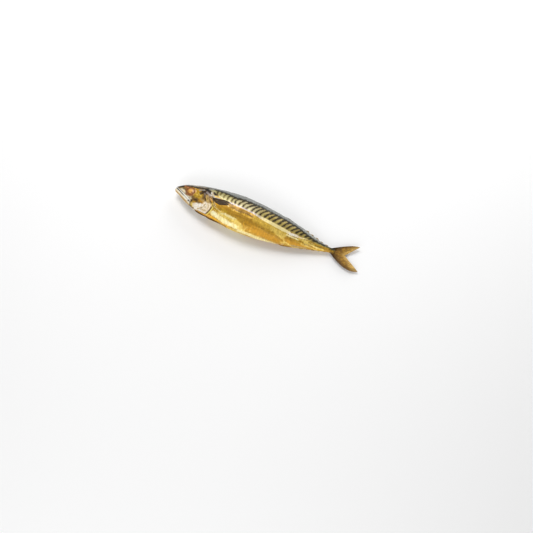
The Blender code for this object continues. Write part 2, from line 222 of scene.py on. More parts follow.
# The dark bars of the back: places down each bar (distance behind the snout, height above the lateral
# line) with half the bar's width there, all in mm.
BARS_MM = (
    ((77.6, 14.0, 1.1), (77.8, 8.5, 0.9), (78.0, 5.0, 0.9), (78.2, 2.8, 0.8)),
    ((83.4, 14.5, 1.2), (85.3, 10.6, 1.3), (84.6, 7.8, 0.5), (84.3, 5.2, 0.5)),
    ((90.0, 14.2, 1.0), (94.4, 12.6, 1.5), (93.6, 10.0, 0.4), (92.0, 7.5, 0.3), (92.2, 2.0, 0.1)),
    ((105.0, 14.6, 2.2), (101.6, 11.6, 1.0), (100.2, 8.5, 0.5), (99.8, 5.0, 0.6), (100.0, 1.5, 0.4)),
    ((112.5, 14.5, 2.1), (110.4, 11.8, 1.4), (108.6, 9.0, 0.5), (108.2, 5.0, 0.7), (108.4, 2.0, 0.5)),
    (
        (124.5, 17.0, 2.3), (119.5, 14.3, 1.8), (116.8, 11.2, 0.8),
        (115.0, 8.2, 0.8), (115.1, 5.0, 1.2), (115.6, 2.4, 1.0),
    ),
    (
        (130.5, 18.5, 2.4), (128.8, 14.0, 1.9), (126.6, 10.8, 1.0),
        (124.2, 7.8, 1.1), (123.3, 5.0, 1.5), (122.4, 2.4, 1.2),
    ),
    (
        (142.0, 17.0, 2.4), (138.0, 14.2, 2.0), (134.4, 11.0, 0.9),
        (132.5, 8.0, 0.8), (131.4, 5.0, 1.3), (131.2, 2.5, 1.0),
    ),
    (
        (150.5, 16.5, 2.0), (146.2, 13.2, 1.5), (143.2, 9.8, 1.2),
        (140.4, 6.2, 1.1), (138.6, 3.6, 1.0), (137.4, 2.0, 0.7),
    ),
    ((158.0, 16.8, 1.9), (153.2, 12.2, 1.3), (150.4, 7.2, 1.1), (149.1, 3.6, 1.3), (148.6, 1.6, 0.9)),
    ((165.8, 17.2, 2.0), (160.6, 11.2, 1.1), (157.7, 6.6, 1.2), (156.6, 3.0, 1.3), (156.3, 1.6, 0.8)),
    ((174.0, 17.4, 2.0), (169.2, 12.2, 1.3), (166.4, 7.2, 1.2), (165.0, 3.0, 1.4), (164.8, 1.2, 0.9)),
    ((184.5, 18.5, 2.2), (179.6, 13.6, 1.5), (176.3, 9.0, 1.3), (174.3, 4.6, 1.5), (173.8, 1.6, 1.3)),
    ((192.0, 19.0, 2.2), (188.5, 14.2, 1.5), (186.0, 10.0, 1.45), (183.4, 6.4, 1.75), (181.8, 3.0, 1.35)),
    ((201.0, 19.0, 2.3), (197.7, 14.8, 2.0), (195.0, 10.6, 1.15), (192.2, 6.8, 1.75), (189.8, 3.8, 1.15)),
    ((210.5, 19.0, 2.3), (207.0, 15.0, 1.7), (204.6, 10.6, 1.35), (203.4, 7.2, 1.45), (200.8, 4.5, 1.15)),
    ((219.4, 18.6, 2.3), (215.6, 14.2, 1.7), (213.0, 10.0, 1.35), (211.8, 6.6, 1.45), (209.8, 4.3, 1.05)),
    ((228.6, 17.8, 2.1), (225.0, 14.4, 1.6), (222.1, 11.0, 1.35), (220.4, 7.2, 1.35), (218.2, 4.6, 1.15)),
    ((237.5, 15.6, 1.8), (234.0, 12.8, 1.7), (230.6, 9.2, 1.45), (228.6, 6.4, 1.35), (226.8, 4.8, 0.95)),
    ((245.5, 14.0, 1.6), (241.6, 12.4, 1.6), (239.2, 9.8, 1.35), (237.4, 7.0, 1.75), (235.8, 5.0, 1.25)),
    ((252.0, 12.2, 1.4), (249.0, 11.0, 1.55), (246.8, 8.4, 1.35), (245.2, 6.0, 1.75), (243.8, 4.8, 1.05)),
    ((258.5, 9.8, 1.2), (255.2, 7.2, 1.7), (253.2, 5.4, 1.3)),
    ((265.0, 7.8, 1.0), (261.8, 5.8, 1.4), (260.4, 4.8, 1.0)),
    ((273.0, 6.4, 1.2), (268.6, 4.8, 1.2)),
)
# Where the skin turns dark along the back: heights above the lateral line.
DARK_ALONG_MM = (0, 60, 80, 90, 100, 110, 120, 130, 140, 150, 160, 180, 200, 220, 240, 250, 260, 270, 280, 312)
DARK_FROM_MM = (6, 8, 10.5, 11.5, 12, 12.3, 13, 14, 15.3, 16.5, 17.5, 18.2, 18, 17, 13.5, 10.5, 7.5, 5.5, 4.5, 3)

# Hues of the brush marks.
HUES = {
    "black": (0.012, 0.011, 0.010),
    "slate": (0.21, 0.212, 0.195),
    "grey": (0.33, 0.32, 0.29),
    "ice": (0.80, 0.90, 0.98),
    "lilac": (0.24, 0.22, 0.24),
    "white": (1.0, 0.95, 0.84),
    "ivory": (1.0, 0.94, 0.62),
    "shell": (0.96, 0.82, 0.60),
    "cream": (0.97, 0.84, 0.42),
    "stone": (0.52, 0.44, 0.28),
    "pearl": (0.80, 0.73, 0.52),
    "straw": (0.82, 0.60, 0.14),
    "honey": (0.72, 0.47, 0.070),
    "tan": (0.50, 0.34, 0.13),
    "gold": (0.53, 0.33, 0.026),
    "amber": (0.56, 0.28, 0.018),
    "flame": (0.95, 0.50, 0.020),
    "chestnut": (0.47, 0.25, 0.024),
    "rust": (0.40, 0.15, 0.055),
    "brown": (0.21, 0.125, 0.034),
    "umber": (0.045, 0.024, 0.012),
}

# Colours of the finishes. The low and high ones darken and brighten what they are laid over.
BRONZE = (0.37, 0.205, 0.026, 1)
BRIGHT_GOLD = (0.64, 0.41, 0.060, 1)
GRAIN_LOW = (0.66, 0.60, 0.46, 1)
GRAIN_HIGH = (1.36, 1.36, 1.30, 1)
LINE_SILVER = (0.54, 0.50, 0.46, 1)
LINE_STRAW = (0.90, 0.76, 0.36, 1)
LINE_LILAC = (0.22, 0.20, 0.30, 1)
REAR_KHAKI = (0.36, 0.27, 0.060, 1)
PALE_KHAKI = (0.44, 0.39, 0.235, 1)
KHAKI_FLECK = (0.50, 0.445, 0.235, 1)
KHAKI_SHADE = (0.27, 0.21, 0.075, 1)
KHAKI_GLEAM = (0.66, 0.60, 0.36, 1)
REAR_GLEAM = (0.52, 0.42, 0.12, 1)
# STALK_GREY and BACK_SHEEN are partly painted sheen over the dark back; BACK_EDGE is the dark band's own colour
STALK_GREY = (0.27, 0.268, 0.24, 1)
BACK_EDGE = (0.024, 0.024, 0.014, 1)
BACK_SHEEN = (0.32, 0.32, 0.285, 1)
BACK_SHADOW = (0.050, 0.052, 0.044, 1)
BAR_EDGE = (0.19, 0.13, 0.045, 1)
RIM_YELLOW = (1.0, 0.82, 0.20, 1)
# wine and red of the gill slit: partly the gills' own colour, partly painted shade under the gill cover
RIM_WINE = (0.17, 0.048, 0.010, 1)
SLIT_RED = (0.10, 0.030, 0.012, 1)
MOTTLE_LOW = (0.58, 0.50, 0.40, 1)
MOTTLE_HIGH = (1.34, 1.34, 1.30, 1)
FLECK_LOW = (0.70, 0.64, 0.56, 1)
FLECK_HIGH = (1.26, 1.26, 1.24, 1)
BLADE_BROWN = (0.26, 0.19, 0.12, 1)
BLADE_BONE = (0.76, 0.69, 0.52, 1)
LIP_WHITE = (0.96, 0.96, 0.91, 1)
BLADE_SEAM = (0.060, 0.040, 0.030, 1)
JAW_IVORY = (1.0, 0.94, 0.74, 1)
JAW_TAN = (0.74, 0.46, 0.13, 1)
JAW_STREAK = (0.62, 0.45, 0.24, 1)
JAW_FLECK = (0.40, 0.23, 0.09, 1)
THROAT_TAN = (0.60, 0.36, 0.12, 1)
THROAT_STRAW = (0.80, 0.60, 0.30, 1)
THROAT_FOLD = (0.38, 0.19, 0.07, 1)
JAW_BONE = (0.92, 0.86, 0.72, 1)
JAW_GROOVE = (0.26, 0.13, 0.05, 1)
MARBLE_TAN = (0.74, 0.54, 0.28, 1)
MARBLE_PEARL = (1.0, 0.97, 0.90, 1)
EYE_FLESH = (0.42, 0.145, 0.028, 1)
DARK_FLESH = (0.19, 0.062, 0.020, 1)
EYE_RING = (0.075, 0.028, 0.014, 1)
# painted shade inside the gap of the jaws, the notches at its corner and the nostrils
MOUTH_SHADE = (0.014, 0.010, 0.009, 1)
NOTCH_SHADE = (0.034, 0.022, 0.016, 1)
NOSTRIL_SHADE = (0.012, 0.009, 0.009, 1)
WEB_BROWN = (0.27, 0.135, 0.022, 1)
WEB_TIP = (0.84, 0.54, 0.15, 1)
WEB_SHADE = (0.15, 0.070, 0.014, 1)
FIN_ROOT = (0.050, 0.026, 0.010, 1)
FIN_EDGE = (0.085, 0.040, 0.012, 1)
IRIS_GOLD = (0.50, 0.22, 0.055, 1)
IRIS_FLECK = (0.70, 0.46, 0.20, 1)
LENS_GLEAM = (0.88, 0.58, 0.16, 1)
LENS_EDGE = (0.16, 0.050, 0.016, 1)
SOCKET_EDGE = (0.050, 0.020, 0.012, 1)
SCALE_SILVER = (0.50, 0.46, 0.42, 1)
SCALE_STRAW = (0.80, 0.64, 0.26, 1)
SCALE_SHADE = (0.40, 0.34, 0.30, 1)

# Each fin finish has a stain over its web and rays, and how strong that is.
FIN_STAINS = {
    "painted_fin": ((0.0, 0.0, 0.0, 1), 0.0),
    "dark_fin": ((0.020, 0.012, 0.007, 1), 0.9),
    "grey_fin": ((0.13, 0.13, 0.115, 1), 0.8),
    "brown_fin": ((0.10, 0.034, 0.012, 1), 0.75),
    "gold_fin": ((0.30, 0.175, 0.035, 1), 0.85),
}

# Brush marks on the head: from, to (distance behind the snout and height, mm), half width, hue, strength. Some are
# painted sheen and highlights, noted where they stand.
HEAD_MARKS = (
    (3, 4, 34, -8, 4.6, "stone", 1.0),
    (14, 2, 24, -4.5, 2.2, "pearl", 0.75),
    (9, 2.4, 16, -0.8, 0.7, "shell", 0.7),
    (16, 4.5, 19, 2, 1.3, "umber", 0.6),
    (22, -3.5, 30, -7.5, 1.2, "tan", 0.5),
    (21, -9, 28, -12.2, 1.1, "grey", 0.7),
    (27, -8.3, 36, -10.4, 1.5, "pearl", 0.8),
    (31, -9.6, 34, -10.6, 0.7, "tan", 0.7),
    (40, 3.5, 50, 0.5, 6.2, "gold", 1.0),
    (41, -3, 52, -4.5, 3.4, "gold", 0.9),
    # painted highlight on the gold cheek
    (48, 2.2, 51, -0.2, 1.4, "straw", 0.8),
    (43, 1, 47, -2.5, 1.5, "straw", 0.45),
    (44, 7, 50, 4.5, 1.4, "chestnut", 0.7),
    (38, -7, 50, -9, 2.5, "brown", 0.95),
    (42, -9.5, 49, -10.5, 1.3, "umber", 0.7),
    (42, -13.8, 47, -14.3, 1.3, "chestnut", 0.9),
    (53, -8.5, 61, -12, 3.0, "amber", 0.8),
    (54, -6, 59, -8, 2.2, "tan", 0.8),
    (32, 9.8, 43, 9.4, 1.3, "chestnut", 0.85),
    # painted highlight behind the eye
    (35.5, 8.0, 39.5, 5.6, 1.0, "cream", 0.85),
    (40, -18, 47, -19, 3.0, "straw", 0.9),
    (46, -18.5, 62, -17.5, 3.6, "white", 1.0),
    (48, -22, 66, -23.2, 2.2, "white", 0.9),
    (65, -12, 74, -14, 4.6, "shell", 1.0),
    (66, -21, 75, -20, 3.8, "shell", 1.0),
    (66, -24.5, 72, -24.8, 1.0, "white", 0.9),
    (57, -14.5, 61, -15.5, 1.5, "white", 0.8),
    (65.5, -13, 62.0, -18.4, 0.9, "tan", 0.9),
    (62.0, -18.4, 54, -22.0, 1.0, "tan", 0.85),
    (59, -22.4, 71, -21.0, 0.6, "tan", 0.85),
    (49, -17.0, 57, -18.6, 1.4, "white", 0.9),
    (67, -11, 71, -17.5, 0.8, "white", 0.8),
    (72, -12, 73.5, -17, 0.6, "tan", 0.6),
    (50, -25.4, 80, -29, 1.6, "flame", 0.95),
    (50, 3.5, 57, 9.5, 3.2, "umber", 0.9),
    (52, 9, 61, 6, 2.0, "umber", 0.8),
    (55, -0.5, 57, 4, 1.6, "brown", 0.9),
    (57.5, 4.5, 60.5, -1.5, 1.1, "lilac", 0.75),
    (58.5, 3, 61.0, -1.5, 0.9, "umber", 0.8),
    (61.0, -1.5, 63.0, -6.0, 1.2, "umber", 0.75),
    (61, 8.5, 67, 4.5, 2.2, "lilac", 0.7),
    (64.5, 0.5, 69, -6.8, 3.0, "tan", 0.95),
    (63, -2, 66, -6, 1.0, "straw", 0.5),
    (68, 2.5, 71, -4.5, 1.1, "brown", 0.8),
    (45.5, 8.6, 54.5, 12, 1.1, "grey", 0.95),
    (52, 8, 55.5, 10, 1.0, "black", 0.6),
    (15.5, 9.6, 23.5, 8.6, 1.9, "rust", 1.0),
    (20, 11.5, 45, 14.0, 1.9, "black", 0.95),
    (45, 14.5, 60, 15.8, 2.3, "black", 0.95),
    # painted sheen: grey and slate laid over the dark crown, nape and top of the snout
    (18, 17, 50, 23, 5.0, "grey", 1.0),
    (44, 22, 62, 24.5, 4.4, "slate", 1.0),
    (6, 10, 20, 16, 2.6, "grey", 1.0),
    (4.2, 5.4, 13.5, 8.6, 2.4, "black", 0.95),
    (7, 4.2, 14, 4.6, 0.8, "brown", 0.8),
    (58, 14.5, 67.5, 10.5, 3.1, "black", 1.0),
    # painted sheen over the dark nape
    (63, 17.5, 68, 19.5, 2.6, "slate", 0.7),
    (69.5, 11.8, 73.5, 7.0, 2.6, "stone", 0.85),
    (67.0, 14.3, 67.4, 13.6, 0.6, "lilac", 0.8),
    # painted highlight: a blue-white glint beside the dark blotches
    (69.0, 11.5, 69.4, 9.8, 1.2, "ice", 1.0),
    (74, 11.8, 80.5, 9.2, 2.3, "umber", 0.85),
    (72, 13.2, 76, 10.0, 1.4, "black", 0.8),
    (80.8, 9.4, 86, 5.4, 0.9, "honey", 0.7),
    (69, 6.8, 77, 4.6, 1.7, "grey", 0.95),
    (70.2, 7.5, 71.5, 6.2, 0.8, "shell", 0.8),
    (76, 5.2, 88, 4.5, 1.0, "grey", 0.85),
    (71.8, -0.5, 76.5, -6, 1.4, "amber", 0.9),
    (77.5, -8, 78, -11, 1.8, "straw", 0.8),
    (34.8, -11.6, 35.4, -12.6, 0.9, "grey", 0.9),
    (38.2, -13.2, 39, -14, 1.1, "umber", 0.9),
    (36.2, -18.8, 37.0, -21, 0.8, "umber", 0.8),
)

# Brush marks on the flank: from, to (distance behind the snout and above the lateral line, mm), and so on. Some are
# painted highlights, noted where they stand.
FLANK_MARKS = (
    (60, -43.5, 84, -42.5, 2.6, "flame", 1.0),
    (84, -42.6, 120, -45, 2.2, "flame", 0.95),
    (120, -45.5, 150, -46.5, 1.6, "amber", 0.8),
    (98, -45.2, 113, -46.4, 1.0, "brown", 0.8),
    (60, -46.4, 74, -45.8, 1.0, "brown", 0.6),
    (118, -50, 290, -14, 4.0, "straw", 0.75),
    (78, -9, 92, -16, 3.0, "chestnut", 0.5),
    (74, -9.5, 88, -15.5, 1.5, "flame", 0.8),
    (78, -13, 82, -18, 3.0, "tan", 0.9),
    (92, -15, 108, -12, 5.0, "chestnut", 0.9),
    (98, -18, 112, -19, 2.4, "gold", 0.6),
    (100, -1, 112, -1.6, 1.8, "umber", 0.75),
    (104, -4, 113, -4.5, 1.4, "brown", 0.6),
    (104, -4.6, 144, -4.8, 2.8, "chestnut", 0.6),
    (104, -4.4, 146, -4.6, 2.4, "brown", 0.3),
    (102, -4.6, 156, -5.6, 4.0, "umber", 0.2),
    (142, -6, 176, -5.5, 2.0, "brown", 0.4),
    (112, -8.3, 137, -8, 0.8, "brown", 0.9),
    (116, -9.8, 133, -9.6, 0.5, "brown", 0.7),
    (138, -7, 160, -7.4, 0.8, "brown", 0.7),
    (160, -6.6, 178, -6.2, 0.7, "brown", 0.7),
    (120, -12.5, 152, -13, 0.7, "brown", 0.6),
    (128, -16.8, 158, -17, 0.9, "brown", 0.5),
    # small painted highlights on the flank below the line
    (114.5, -11.9, 118.5, -12.1, 0.6, "straw", 0.95),
    (103.4, -6.6, 107.2, -7.6, 0.6, "cream", 0.85),
    (124, -10.5, 130, -10.6, 0.4, "straw", 0.7),
    (114, -16, 166, -17, 5.0, "chestnut", 0.55),
    # the belly's front: its own straw and cream, brightened by a painted highlight
    (98, -26.5, 126, -27.0, 5.0, "straw", 0.85),
    (122, -26.5, 138, -30.5, 3.4, "straw", 0.6),
    (130, -33, 146, -38, 2.4, "straw", 0.55),
    (99, -26.5, 105, -23.6, 1.4, "cream", 0.9),
    (105, -23.8, 126, -24.6, 1.9, "cream", 0.95),
    (124, -24.6, 138, -28, 1.2, "straw", 0.9),
    # painted highlights along the ridges of the folds under the pectoral fin
    (82, -20.4, 97, -23.6, 0.45, "cream", 0.95),
    (86, -22.6, 98, -26.2, 0.5, "straw", 0.85),
    (84, -24.8, 94, -28.2, 0.5, "straw", 0.8),
    # more of the belly's own cream and ivory, brightened by the painted highlight
    (84, -33, 110, -36.5, 5.2, "cream", 1.0),
    (108, -37, 129, -38.4, 4.6, "cream", 1.0),
    (126, -38.4, 142, -40.0, 3.4, "cream", 0.8),
    (124, -34.5, 136, -36.5, 2.6, "cream", 0.6),
    (84, -31, 92, -35, 2.8, "ivory", 0.9),
    (112, -36.5, 120, -37.5, 2.4, "ivory", 0.7),
    (98, -30.3, 126, -30.0, 0.8, "gold", 0.6),
    (138.5, -31, 141.5, -43, 1.3, "straw", 0.7),
    (144, -33, 147, -42, 1.2, "straw", 0.5),
    (138, -42, 143, -30, 1.5, "straw", 0.5),
    (144, -42, 151, -29, 1.5, "straw", 0.45),
    (151, -42, 159, -31, 1.4, "straw", 0.42),
    (158, -41, 166, -33, 1.3, "straw", 0.38),
    (136, -38, 152, -40, 2.6, "straw", 0.6),
    (134, -30, 142, -33, 2.4, "straw", 0.4),
    (143, -24, 145, -27.5, 0.8, "flame", 0.6),
    (138, -43.5, 196, -38.2, 3.6, "cream", 0.9),
    (190, -38.2, 224, -31.0, 2.8, "cream", 0.75),
    (212, -30.5, 222, -26, 1.6, "shell", 0.7),
    (146, -22, 186, -23, 3.2, "amber", 0.5),
    (156, -30, 180, -31, 3.6, "amber", 0.55),
    (168, -27, 214, -26.5, 6.2, "amber", 0.95),
    (176, -33, 200, -33, 1.2, "tan", 0.5),
    (202, -17, 222, -18.5, 1.8, "chestnut", 0.85),
    (160, -8, 205, -9, 5.5, "honey", 0.6),
    (196, -7, 220, -8, 5.5, "straw", 0.6),
    (206, -13, 219, -14.5, 3.0, "straw", 0.5),
    (180, -4.4, 224, -4.6, 0.7, "gold", 0.8),
    (222, -12.2, 248, -10, 2.4, "chestnut", 1.0),
    (226, -16, 252, -12.5, 2.8, "amber", 0.8),
    (221, -19.2, 235, -21.6, 1.9, "straw", 0.62),
    (222, -27.2, 234, -25, 2.4, "chestnut", 1.0),
    (236, -21, 262, -14, 2.0, "tan", 0.9),
    (216, -25, 222, -22, 1.9, "straw", 0.5),
    # painted highlight: a white patch of reflected light on the rear flank
    (210, -0.4, 225, -0.2, 2.6, "cream", 1.0),
    (221, -0.8, 232, -0.8, 1.9, "shell", 0.7),
    (227, -1.4, 240, 0.2, 2.3, "white", 1.0),
    (222, -5.8, 244, -4.8, 1.3, "cream", 1.0),
    (238, 0, 250, 0.6, 1.5, "shell", 0.85),
    (244, -3, 262, -1.2, 2.0, "straw", 0.75),
    (250, 1.4, 262, 3.2, 0.9, "cream", 0.9),
    (262, 3.2, 272, 3.4, 0.7, "cream", 0.6),
    (254, -5.5, 262, -6, 1.0, "umber", 0.45),
    (262, -1, 288, -1.6, 1.3, "brown", 0.5),
    (262, 0.4, 275, -0.6, 0.8, "straw", 0.6),
    (275, -1.6, 298, -1.4, 0.6, "umber", 0.5),
    (256, -4, 292, -3.8, 2.2, "straw", 0.85),
    (264, -6, 290, -5.4, 1.1, "amber", 0.7),
    (252, -10, 264, -8.5, 1.4, "straw", 0.6),
    (262, -8.6, 286, -8.2, 1.2, "straw", 0.7),
    (285, 0.8, 306, -0.6, 1.3, "chestnut", 0.9),
    (268, -4.4, 282, -4.0, 0.7, "cream", 0.5),
    (256, -7.2, 270, -7.4, 0.8, "tan", 0.7),
    (240, -9.5, 256, -8, 1.0, "honey", 0.6),
    (302, 3.0, 312, 3.6, 2.2, "umber", 0.7),
    (305, -3.0, 312, -3.0, 2.6, "brown", 0.7),
)


# ------------------------------------------------------------------ sizes and colours


def colour_choice(name, description, red, green, blue):
    """A colour that the user may change."""
    shown = (red, green, blue, 1.0)
    return FloatVectorProperty(name=name, description=description, subtype="COLOR", size=4, default=shown)


def length_choice(name, description, default):
    """A length that the user may change."""
    return FloatProperty(name=name, description=description, unit="LENGTH", default=default)


def angle_choice(name, description, degrees):
    """An angle that the user may change."""
    return FloatProperty(name=name, description=description, subtype="ANGLE", default=math.radians(degrees))


class SkinLooks(bpy.types.PropertyGroup):
    """Colours and relief of the skin."""

    bars: colour_choice("Bars", "Dark wavy bars of the back", 0.026, 0.019, 0.008)
    between: colour_choice("Between bars", "Khaki skin between the bars", 0.29, 0.255, 0.080)
    # the back's grey is partly its own colour and partly painted sheen, paler towards the spine
    back: colour_choice("Back", "Skin along the back", 0.20, 0.205, 0.190)
    gold: colour_choice("Gold", "Smoked flank under the line", 0.60, 0.35, 0.034)
    amber: colour_choice("Amber", "Lower flank", 0.56, 0.30, 0.032)
    shadow_pitch: length_choice("Shadow pitch", "Distance between the faint bars over the back", 8.0 * MM)
    wrinkle: length_choice("Wrinkle", "Height of the dried skin's wrinkles", 0.11 * MM)


class HeadLooks(bpy.types.PropertyGroup):
    """Sizes and colours of the head."""

    mouth_depth: length_choice("Mouth depth", "Depth of the gap of the jaws", 1.7 * MM)
    mouth_width: length_choice("Mouth width", "Half the gap of the jaws", 0.5 * MM)
    iris: colour_choice("Iris", "Outer ring of the eye", 0.28, 0.095, 0.022)
    lens: colour_choice("Lens", "Clouded middle of the eye", 0.60, 0.27, 0.035)


class FinLooks(bpy.types.PropertyGroup):
    """Sizes and colours of the fins."""

    web: colour_choice("Web", "Dried web between rays", 0.52, 0.28, 0.034)
    ray: colour_choice("Ray", "Rays and roots", 0.10, 0.055, 0.018)
    finlets: IntProperty(name="Finlets", description="Finlets along each edge of the tail stalk", default=5)
    finlet_length: length_choice("Finlet length", "Length of the first finlet", 7.6 * MM)
    seed: IntProperty(name="Seed", description="Seed of the finlets' unevenness", default=4)


class StageLooks(bpy.types.PropertyGroup):
    """Floor, light and camera."""

    floor: colour_choice("Floor", "Plain pale floor", 0.93, 0.93, 0.93)
    lens: FloatProperty(name="Lens", description="Focal length in millimetres", default=85.0)
    azimuth: angle_choice("Azimuth", "Turn of the camera round the fish", 21.45)
    elevation: angle_choice("Elevation", "Camera above the table", 75.0)
    distance: length_choice("Distance", "Camera to the fish", 2.277)


# ------------------------------------------------------------------ form of the fish


def smooth(low, high, value):
    """0 at the low limit and 1 at the high one, with an easy run between them."""
    share = np.clip((np.asarray(value, float) - low) / (high - low), 0.0, 1.0)
    return share * share * (3.0 - 2.0 * share)


def hill(distance, width):
    """1 in the middle, falling to nothing a few widths away."""
    return np.exp(-((np.asarray(distance, float) / width) ** 2))


def stretch(along, *limits_mm):
    """1 between the inner two of four distances behind the snout, and 0 outside the outer two."""
    rise, full, fall, end = (limit * MM for limit in limits_mm)
    return smooth(rise, full, along) * (1 - smooth(fall, end, along))


def folded(turn):
    """The same turn on the left half of the fish."""
    return np.where(turn > math.pi, 2 * math.pi - turn, turn)


def from_stroke(across, height, start, end):
    """Distance from the straight stroke between two places, and the share of the way along it."""
    way = np.subtract(end, start)
    share = np.clip(((across - start[0]) * way[0] + (height - start[1]) * way[1]) / (way @ way), 0, 1)
    return np.hypot(across - start[0] - share * way[0], height - start[1] - share * way[1]), share


def station_slopes():
    """Slopes of the stations' columns that let no curve overshoot between two stations."""
    rises = np.diff(STATIONS[:, 1:], axis=0) / np.diff(STATIONS[:, :1], axis=0)
    before, after = rises[:-1], rises[1:]
    product = before * after
    total = np.where(before + after == 0, 1.0, before + after)
    inner = np.where(product <= 0, 0.0, 2.0 * product / total)
    return np.vstack([rises[:1], inner, rises[-1:]])


SLOPES = station_slopes()


def measure(column, along):
    """One of the stations' columns at any distances behind the snout, on a smooth curve, in metres."""
    places = STATIONS[:, 0]
    place = np.clip(np.asarray(along, float) / MM, 0.0, places[-1])
    row = np.clip(np.searchsorted(places, place, side="right") - 1, 0, len(places) - 2)
    gap = places[row + 1] - places[row]
    t = (place - places[row]) / gap
    value = STATIONS[row, column] * (1 + 2 * t) * (1 - t) ** 2 + STATIONS[row + 1, column] * t * t * (3 - 2 * t)
    value += gap * t * (1 - t) * (SLOPES[row, column - 1] * (1 - t) - SLOPES[row + 1, column - 1] * t)
    return value * MM


def section(along):
    """Middle height, half depth and half width of the body, closed at both ends."""
    along = np.asarray(along, float)
    back, belly = measure(BACK, along), -measure(BELLY, along)
    nose = np.sqrt(np.clip(1 - (1 - np.minimum(along, SNOUT_ROUND) / SNOUT_ROUND) ** 2, 0.0, 1.0))
    rest = np.clip(BODY_END - along, 0.0, END_ROUND)
    closing = nose * np.sqrt(np.clip(1 - (1 - rest / END_ROUND) ** 2, 0.0, 1.0))
    return (back + belly) / 2, closing * (back - belly) / 2, closing * measure(HALF_WIDTH, along)


def narrowing(level):
    """How much slimmer a section is towards the belly, from level 0 at its middle to -1."""
    return 1.0 - BELLY_NARROWING * np.maximum(0.0, -level) ** 2


def body_point(along, turn):
    """Points of the plain loft as (along, up, out). Turn runs from the back over the left flank to the belly."""
    middle, half_depth, half_width = section(along)
    power = 2 / SECTION_FULLNESS
    cosine, sine = np.cos(turn), np.sin(turn)
    level = np.sign(cosine) * np.abs(cosine) ** power
    side = np.sign(sine) * np.abs(sine) ** power * narrowing(level)
    return np.stack([along + 0 * turn, middle + half_depth * level, half_width * side], axis=-1)


def flank_out(along, up):
    """How far the flank stands out of the middle plane at a distance behind the snout and a height."""
    middle, half_depth, half_width = section(along)
    level = np.clip((up - middle) / half_depth, -1.0, 1.0)
    return half_width * narrowing(level) * (1 - np.abs(level) ** SECTION_FULLNESS) ** (1 / SECTION_FULLNESS)


def flank_point(along, up, height, side):
    """A point that stands a height off the flank's skin, on the left (side 1) or the right (side -1)."""
    along, up = np.broadcast_arrays(np.asarray(along, float), np.asarray(up, float))
    step = 0.2 * MM
    out = flank_out(along, up)
    slope_along = (flank_out(along + step, up) - flank_out(along - step, up)) / (2 * step)
    slope_up = np.clip((flank_out(along, up + step) - flank_out(along, up - step)) / (2 * step), -6, 6)
    normal = np.stack([-slope_along, -slope_up, np.ones_like(out)], axis=-1)
    normal /= np.linalg.norm(normal, axis=-1, keepdims=True)
    point = np.stack([along, up, out], axis=-1) + normal * np.asarray(height)[..., None]
    return point * np.array([1.0, 1.0, side])


def laid_down(points):
    """Takes (along, up, out) to the table: the backbone's height is added, and the underside pressed flat."""
    points = np.asarray(points, float)
    height = measure(SPINE, points[..., 0]) + points[..., 2]
    pressed = (height + np.sqrt(height**2 + PRESS_SOFTNESS**2)) / 2
    above = np.where(points[..., 0] > BODY_END, height, pressed)
    across = np.clip(LINE_Y + points[..., 1], LOW.y, HIGH.y)
    return np.stack([SNOUT_X + points[..., 0], across, np.maximum(0.0, above)], axis=-1)


def arc_table():
    """How far round from the back each turn lies, on a lattice of distances and turns."""
    alongs = np.linspace(0.2 * MM, BODY_END - 0.2 * MM, 420)
    turns = np.linspace(0.0, math.pi, 181)
    points = body_point(alongs[:, None], turns[None, :])
    steps = np.linalg.norm(np.diff(points, axis=1), axis=-1)
    return alongs, turns, np.concatenate([np.zeros((len(alongs), 1)), np.cumsum(steps, axis=1)], axis=1)


ARC_ALONGS, ARC_TURNS, ARCS = arc_table()


def arc_from_back(along, turn):
    """Distance round the skin from the middle of the back, and the whole way round to the belly."""
    turn = folded(turn)
    row = np.clip((along - ARC_ALONGS[0]) / (ARC_ALONGS[1] - ARC_ALONGS[0]), 0, len(ARC_ALONGS) - 1.001)
    column = np.clip(turn / math.pi * (len(ARC_TURNS) - 1), 0, len(ARC_TURNS) - 1.001)
    r, c = row.astype(int), column.astype(int)
    fr, fc = row - r, column - c
    near = ARCS[r, c] * (1 - fc) + ARCS[r, c + 1] * fc
    far = ARCS[r + 1, c] * (1 - fc) + ARCS[r + 1, c + 1] * fc
    return near * (1 - fr) + far * fr, ARCS[r, -1] * (1 - fr) + ARCS[r + 1, -1] * fr


def skin_place(along, turn):
    """Distance behind the snout, distance above the lateral line (both in mm), and the share of the way
    from the line to the back (up to 1) or to the belly (down to -1)."""
    arc, whole = arc_from_back(along, turn)
    line = np.interp(along / MM, LINE_ALONG_MM, LINE_SHARE) * whole
    above = line - arc
    share = np.where(above > 0, above / line, above / (whole - line))
    return np.stack([along / MM + 0 * arc, above / MM, share], axis=-1)


def ripples(points, longest, shortest, seed, drawn_out=(1.0, 1.0, 1.0)):
    """A smooth, seeded unevenness between about -1 and 1, as a sum of waves."""
    chance = np.random.default_rng(seed)
    total = np.zeros(points.shape[:-1])
    for _ in range(RIPPLE_WAVES):
        direction = chance.normal(size=3)
        direction /= np.linalg.norm(direction)
        length = math.exp(chance.uniform(math.log(shortest), math.log(longest)))
        wave = direction / np.array(drawn_out) * math.tau / length
        total += np.sin(points @ wave + chance.uniform(0, math.tau))
    return total / math.sqrt(RIPPLE_WAVES)


def oval_share(oval, along, up):
    """1 on a half oval of the head, less inside it and more outside."""
    centre_along, centre_up, reach, above, below = (value * MM for value in oval)
    tall = np.where(up > centre_up, above, below)
    return np.hypot(np.maximum(0.0, along - centre_along) / reach, (up - centre_up) / tall)


def mouth_up(along):
    """Height of the gap of the jaws."""
    return MOUTH_START + MOUTH_SLOPE * np.hypot(along, MOUTH_FRONT) + MOUTH_CURVE * along**2


